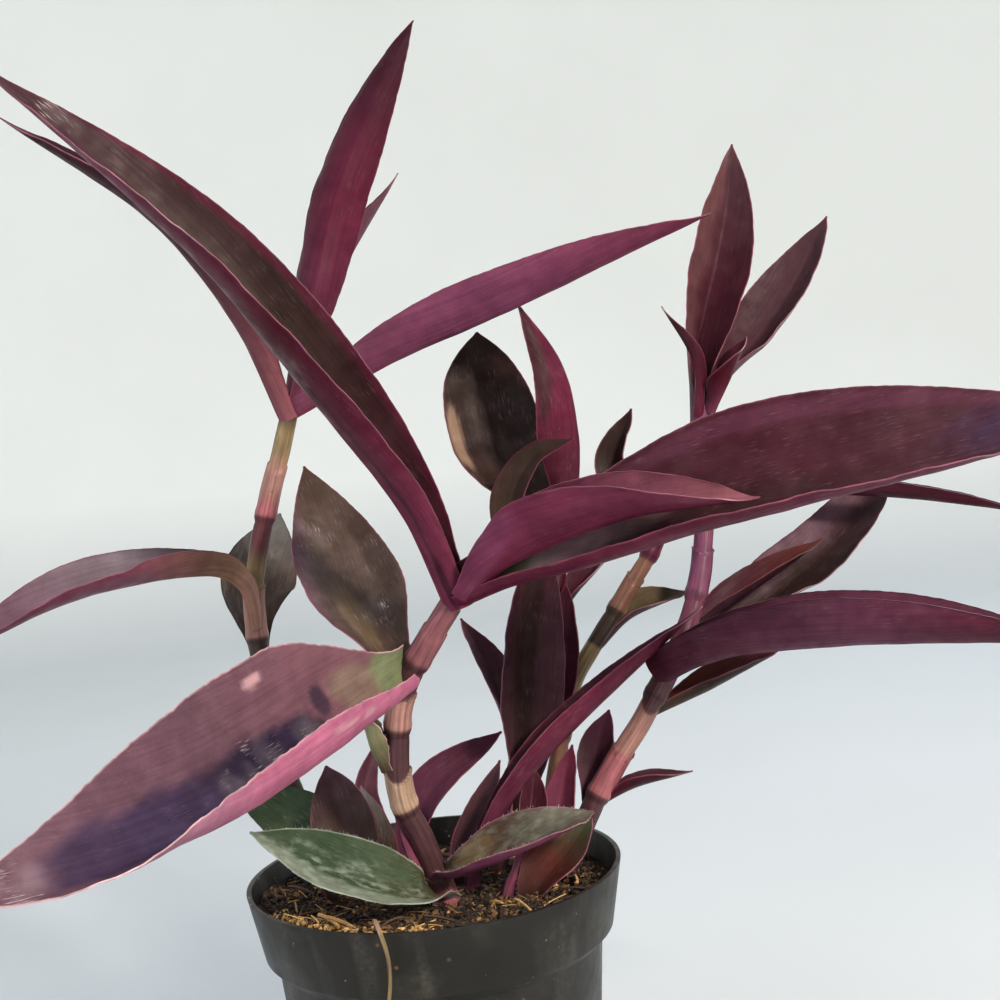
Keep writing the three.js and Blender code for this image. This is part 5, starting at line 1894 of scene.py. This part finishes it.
@dataclass(frozen=True)
class Soil:
    """Coconut peat that fills the pot, with crumbs, shreds and straws on it.

    HEAP is the husk against the front left lip, with its angles in degrees. CLEAR is how far bits stay
    from the wall, REACH how far from the middle they lie, and RISE how far up, all in millimetres.
    """

    pot: Pot
    level: float = 82.3
    slope_x: float = -0.03
    slope_y: float = -0.055
    lump: float = 0.7
    gap: float = 0.3

    SIDES = 96
    CRUMBS = 5200
    SHREDS = 520
    STRAWS = 46
    HEAP_TRIES = 6000
    HEAP_CRUMBS = 420
    HEAP_ANGLE = -118
    HEAP_ARC = (42, 26)
    HEAP_REACH = (40, 45)
    IN_HEAP = 0.5
    HEAP_CLEAR = 0.8
    HEAP_CRUMB_RISE = 2.2
    HEAP_STRAND_RISE = 2.0
    HEAP_STRAND_REACH = 45.5
    STRAND_REACH = 42.0
    CRUMB_CLEAR = 1.2
    CRUMB_RISE = (-0.3, 0.5)
    CRUMB_SIZE = (0.3, 0.95)
    USUAL_SHARE = 0.93
    LARGER = 0.35
    GOLDEN = 0.04
    GOLDEN_HEAP = 0.8
    SMOOTH_BELOW = 55
    BROWNS = ("1e130c", "2a1b12", "39281a", "4a3521", "67492c")
    GOLDS = ("b08850", "cca468", "8e6c40")

    def height(self, x: Array, y: Array) -> Array:
        """Give the height of the soil's surface.

        Args:
            x: Places to the right in millimetres.
            y: Places to the back in millimetres.

        Returns:
            Heights in millimetres.
        """
        lumps = np.sin(x * 0.33 + 1.3) * np.cos(y * 0.29 + 0.7) + 0.5 * np.sin(x * 0.8 + y * 0.6)
        return self.level + self.slope_x * x + self.slope_y * y + self.lump * lumps

    def body(self, finishes: Finishes) -> Object:
        """Model the soil as a closed plug with a crumbly top.

        Args:
            finishes: Materials.

        Returns:
            The soil.
        """
        edge = self.pot.inner_radius(self.level) - self.gap
        piece = flat_grid("peat_surface", self.SIDES, self.SIDES)
        flat = corners(piece) * 2
        reach = np.maximum(np.abs(flat[:, 0]), np.abs(flat[:, 1]))
        round_it = unit(flat[:, :2] + 1e-9) * reach[:, None] * edge
        x, y = round_it[:, 0], round_it[:, 1]
        rough = 0.55 * waves(x * 1.3 + 2 * np.sin(y), 5.0, 3) * waves(y * 1.2 + np.sin(x), 4.3, 4)
        rough += 0.35 * waves(x - y, 2.3, 5) * waves(x + y, 2.7, 6)
        z = self.height(x, y) + rough * smooth(reach, 1.0, 0.94)
        put(piece, np.column_stack([x, y, z]))
        open_mesh(piece)
        bpy.ops.mesh.region_to_loop()
        heights = (self.pot.band_foot, self.pot.step_foot, self.pot.floor + self.gap)
        rings = [(self.pot.inner_radius(height) - self.gap, height) for height in heights]
        extrude_rings(edge, rings, uneven=0)
        bpy.ops.mesh.edge_face_add()
        close_mesh()
        soften(piece, self.SMOOTH_BELOW)
        dress(piece, finishes.peat)
        return piece

    def scatter(self, count: int, reach: float, seed: int) -> tuple[Array, np.random.Generator]:
        """Choose places on the soil.

        Args:
            count: Number of places.
            reach: Furthest distance from the middle in millimetres.
            seed: Number that sets them.

        Returns:
            Places, and the random numbers to go on with.
        """
        random = np.random.default_rng(seed)
        angle = random.uniform(0, 2 * math.pi, count)
        distance = np.sqrt(random.uniform(0, 1, count)) * reach
        x, y = distance * np.cos(angle), distance * np.sin(angle)
        return np.column_stack([x, y, self.height(x, y)]), random

    def turns(self, random: np.random.Generator, count: int, sizes: Array) -> Array:
        """Choose how each bit lies and how large it is.

        Args:
            random: Random numbers.
            count: Number of bits.
            sizes: Size of each along its own axes in millimetres.

        Returns:
            Three rows for each bit.
        """
        quarter = unit(random.normal(0, 1, (count, 4)))
        w, x, y, z = quarter.T
        turn = np.array([
            [1 - 2 * (y * y + z * z), 2 * (x * y - z * w), 2 * (x * z + y * w)],
            [2 * (x * y + z * w), 1 - 2 * (x * x + z * z), 2 * (y * z - x * w)],
            [2 * (x * z - y * w), 2 * (y * z + x * w), 1 - 2 * (x * x + y * y)],
        ]).transpose(2, 0, 1)
        return turn * sizes[:, None, :]

    def tinted_bits(self, piece: Object, count: int, golden: Array, random: np.random.Generator) -> None:
        """Give each bit a brown of its own.

        Args:
            piece: Object with all bits.
            count: Number of bits.
            golden: Which bits are pale and golden.
            random: Random numbers.
        """
        browns = np.array([linear(value) for value in self.BROWNS])
        golds = np.array([linear(value) for value in self.GOLDS])
        tint = np.where(golden[:, None], golds[random.integers(0, len(golds), count)],
                        browns[random.integers(0, len(browns), count)])
        tint = tint * random.uniform(0.8, 1.2, (count, 1))
        tint[:, 3] = 1
        paint(piece, "tint", np.repeat(tint, len(piece.data.vertices) // count, axis=0))

    def lip_heap(self, places: Array) -> Array:
        """Say how far each place lies in the heap of husk against the front left lip.

        Args:
            places: Places on the soil.

        Returns:
            Numbers from 0 outside it to 1 in it.
        """
        distance = np.hypot(places[:, 0], places[:, 1])
        angle = np.degrees(np.arctan2(places[:, 1], places[:, 0]))
        turned = np.abs(angle - self.HEAP_ANGLE)
        return smooth(distance, *self.HEAP_REACH) * smooth(turned, *self.HEAP_ARC)

    def crumbs(self, finishes: Finishes) -> Object:
        """Scatter crumbs of husk and peat over the soil.

        Args:
            finishes: Materials.

        Returns:
            The crumbs as one object.
        """
        template = self.crumb_shape()
        wall = self.pot.inner_radius(self.level)
        places, random = self.scatter(self.CRUMBS, wall - self.CRUMB_CLEAR, 21)
        extra, _ = self.scatter(self.HEAP_TRIES, wall - self.HEAP_CLEAR, 22)
        extra = extra[self.lip_heap(extra) > self.IN_HEAP][:self.HEAP_CRUMBS]
        places = np.vstack([places, extra])
        heap = self.lip_heap(places)
        count = len(places)
        golden = random.uniform(0, 1, count) < self.GOLDEN + self.GOLDEN_HEAP * heap
        sizes = random.uniform(*self.CRUMB_SIZE, (count, 3))
        sizes = sizes * (1 + self.LARGER * (random.uniform(0, 1, (count, 1)) > self.USUAL_SHARE))
        rise = random.uniform(*self.CRUMB_RISE, count)
        places[:, 2] += rise + heap * random.uniform(0, self.HEAP_CRUMB_RISE, count)
        places[:, 2] = np.minimum(places[:, 2], self.pot.height - 0.8)
        piece = repeat("husk_crumbs", template, places, self.turns(random, count, sizes))
        self.tinted_bits(piece, count, golden, random)
        bpy.data.objects.remove(template)
        dress(piece, finishes.crumb)
        return piece

    def crumb_shape(self) -> Object:
        """Model one crumb, an uneven ball of unit size.

        Returns:
            The crumb.
        """
        template = primitive(bpy.ops.mesh.primitive_ico_sphere_add, "husk_crumb", subdivisions=1,
                             radius=1.0)
        shape = corners(template)
        shape *= 1 + 0.22 * waves(shape[:, :1] * 3 + shape[:, 1:2] * 2 + shape[:, 2:] * 5, 6.0, 9)
        template.data.vertices.foreach_set("co", shape.ravel())
        return template

    def strand_shape(self, bend: float) -> Object:
        """Model one strand of husk along X, one unit long and thick, slightly bent.

        Args:
            bend: Rise of its middle as a share of its length.

        Returns:
            The strand.
        """
        template = primitive(bpy.ops.mesh.primitive_cylinder_add, "husk_strand", vertices=5, radius=0.5,
                             depth=1.0, rotation=(0, math.pi / 2, 0))
        bpy.ops.object.transform_apply(location=False, rotation=True, scale=False)
        open_mesh(template)
        for place in (0.18, -0.18):
            bpy.ops.mesh.select_all(action="SELECT")
            bpy.ops.mesh.bisect(plane_co=(place, 0, 0), plane_no=(1, 0, 0))
        bpy.ops.object.mode_set(mode="OBJECT")
        shape = corners(template)
        shape[:, 2] += bend * (0.25 - shape[:, 0] ** 2) * 4
        template.data.vertices.foreach_set("co", shape.ravel())
        return template

    def strands(self, name: str, count: int, length: tuple[float, float], thick: tuple[float, float],
                steep: float, finish: Material, seed: int) -> Object:
        """Scatter shreds or straws over the soil.

        Args:
            name: Name of the object.
            count: Number of strands.
            length: Shortest and longest in millimetres.
            thick: Thinnest and thickest in millimetres.
            steep: How far they may stand up, in radians.
            finish: Material.
            seed: Number that sets their places.

        Returns:
            The strands as one object.
        """
        template = self.strand_shape(0.6)
        places, random = self.scatter(count, self.STRAND_REACH, seed)
        extra, _ = self.scatter(count * 4, self.HEAP_STRAND_REACH, seed + 1)
        extra = extra[self.lip_heap(extra) > self.IN_HEAP][:count // 4]
        places = np.vstack([places, extra])
        total = len(places)
        heap = self.lip_heap(places)
        yaw, pitch = random.uniform(0, 2 * math.pi, total), random.uniform(-steep, steep, total)
        yaw = np.where(heap > self.IN_HEAP, np.arctan2(places[:, 1], places[:, 0]) + math.pi / 2
                       + random.normal(0, 0.35, total), yaw)
        size = random.uniform(*length, total)
        width = random.uniform(*thick, total)
        ahead = np.column_stack([np.cos(yaw) * np.cos(pitch), np.sin(yaw) * np.cos(pitch), np.sin(pitch)])
        side = np.column_stack([-np.sin(yaw), np.cos(yaw), np.zeros(total)])
        up = np.cross(ahead, side)
        turns = np.stack([ahead * size[:, None], side * width[:, None], up * width[:, None]], axis=2)
        rise = 0.5 + 0.4 * np.abs(np.sin(pitch)) * size
        places[:, 2] += rise + heap * random.uniform(0, self.HEAP_STRAND_RISE, total)
        places[:, 2] = np.minimum(places[:, 2], self.pot.height + 0.6)
        piece = repeat(name, template, places, turns)
        golden = random.uniform(0, 1, total) < 0.3 + 0.5 * heap
        self.tinted_bits(piece, total, golden, random)
        bpy.data.objects.remove(template)
        dress(piece, finish)
        return piece

    def build(self, finishes: Finishes) -> None:
        """Model the soil with all that lies on it.

        Args:
            finishes: Materials.
        """
        settle(self.body(finishes), "soil")
        settle(self.crumbs(finishes))
        shreds = self.strands("husk_shreds", self.SHREDS, (2.0, 7.0), (0.12, 0.3), 0.25, finishes.straw, 31)
        settle(shreds)
        straws = self.strands("husk_straws", self.STRAWS, (5.0, 12.0), (0.5, 1.1), 0.35, finishes.straw, 41)
        settle(straws)


class Studio:
    """Pale round sweep, soft lamps and the camera at the photograph's viewpoint."""

    FOCAL_PIXELS = 1400
    FRAME_PIXELS = 1000
    SENSOR = 36.0
    EYE = (26.4, -371.3, 201.1)
    LOOK_DOWN = 2.55
    ROLL = -5.19
    FLOOR_RADIUS = 1200.0
    WALL_RADIUS = 1650.0
    WALL_HEIGHT = 1900.0
    SMOOTH_BELOW = 60

    def sweep(self) -> None:
        """Turn the floor and the wall behind it as one smooth bowl."""
        piece = primitive(bpy.ops.mesh.primitive_circle_add, "studio_sweep", vertices=128,
                          radius=self.FLOOR_RADIUS * MM, fill_type="NGON")
        open_mesh(piece)
        bpy.ops.mesh.region_to_loop()
        curve = self.WALL_RADIUS - self.FLOOR_RADIUS
        rings = [(self.FLOOR_RADIUS + curve * math.sin(a), curve * (1 - math.cos(a)))
                 for a in np.linspace(0, math.pi / 2, 13)[1:]] + [(self.WALL_RADIUS, self.WALL_HEIGHT)]
        extrude_rings(self.FLOOR_RADIUS, rings)
        close_mesh(inside=True)
        soften(piece, self.SMOOTH_BELOW)
        dress(piece, StudioFinish().material())
        piece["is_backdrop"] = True

    def lamp(self, name: str, place: Point, aim: Point, size: float, power: float, colour: str) -> None:
        """Add a square soft lamp.

        Args:
            name: Name of the lamp.
            place: Where it stands, in millimetres.
            aim: What it points at.
            size: Side of its square in millimetres.
            power: Watts.
            colour: sRGB hex colour of its light.
        """
        light = bpy.data.lights.new(name, "AREA")
        light.shape = "SQUARE"
        light.size = size * MM
        light.energy = power
        light.color = linear(colour)[:3]
        lamp = bpy.data.objects.new(name, light)
        back = unit(np.array(place, float) - np.array(aim, float))
        side = unit(np.cross([0.0, 0.0, 1.0], back))
        up = np.cross(back, side)
        lamp.matrix_world = self.placed(side, up, back, place)
        lamp.visible_camera = False
        bpy.context.scene.collection.objects.link(lamp)

    def placed(self, side: Array, up: Array, back: Array, place: Point) -> Matrix:
        """Make the matrix of an object from its three directions and its place.

        Args:
            side: Its own X.
            up: Its own Y.
            back: Its own Z.
            place: Its place in millimetres.

        Returns:
            The matrix.
        """
        turned = np.eye(4)
        turned[:3, 0], turned[:3, 1], turned[:3, 2] = side, up, back
        turned[:3, 3] = np.array(place) * MM
        return Matrix(turned.tolist())

    def camera(self) -> None:
        """Add the camera."""
        lens = bpy.data.cameras.new("photo_camera")
        lens.sensor_width = self.SENSOR
        lens.lens = self.FOCAL_PIXELS / self.FRAME_PIXELS * self.SENSOR
        lens.clip_start = 0.01
        lens.clip_end = 20
        down, roll = math.radians(self.LOOK_DOWN), math.radians(self.ROLL)
        ahead = np.array([0, math.cos(down), -math.sin(down)])
        up = np.array([0, math.sin(down), math.cos(down)])
        right = np.array([1.0, 0, 0])
        side = right * math.cos(roll) + up * math.sin(roll)
        top = -right * math.sin(roll) + up * math.cos(roll)
        camera = bpy.data.objects.new("photo_camera", lens)
        camera.matrix_world = self.placed(side, top, -ahead, self.EYE)
        bpy.context.scene.collection.objects.link(camera)
        bpy.context.scene.camera = camera

    def build(self) -> None:
        """Set up the studio."""
        self.camera()
        self.sweep()
        middle = (20.0, 0.0, 170.0)
        self.lamp("key_lamp", (620, -780, 700), middle, 170, 14.0, "fff4e6")
        self.lamp("fill_lamp", (-900, -700, 500), middle, 900, 3.5, "dfe8ff")
        self.lamp("back_lamp", (700, 700, 950), middle, 600, 4.0, "dfe6ff")
        scene = bpy.context.scene
        scene.view_settings.view_transform = "Standard"
        world = bpy.data.worlds.new("studio_air")
        world.use_nodes = True
        world.node_tree.nodes["Background"].inputs["Color"].default_value = linear("e6ecf2")
        world.node_tree.nodes["Background"].inputs["Strength"].default_value = 0.9
        scene.world = world


def main() -> None:
    """Build the plant and its studio in order."""
    logging.basicConfig(level=logging.INFO, format="%(message)s")
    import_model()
    low, high = (np.array(corner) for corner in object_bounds())
    inside = (low / MM + KEEP_IN, high / MM - KEEP_IN)
    Studio().build()
    finishes = Finishes.build()
    for seed, leaf in enumerate(LEAVES):
        settle(leaf.build(finishes, *inside, seed), leaf.name)
    for stem in STEMS:
        settle(stem.build(finishes), stem.name)
    pot = Pot()
    settle(pot.build(finishes), "pot")
    Soil(pot).build(finishes)


if __name__ == "__main__":
    main()
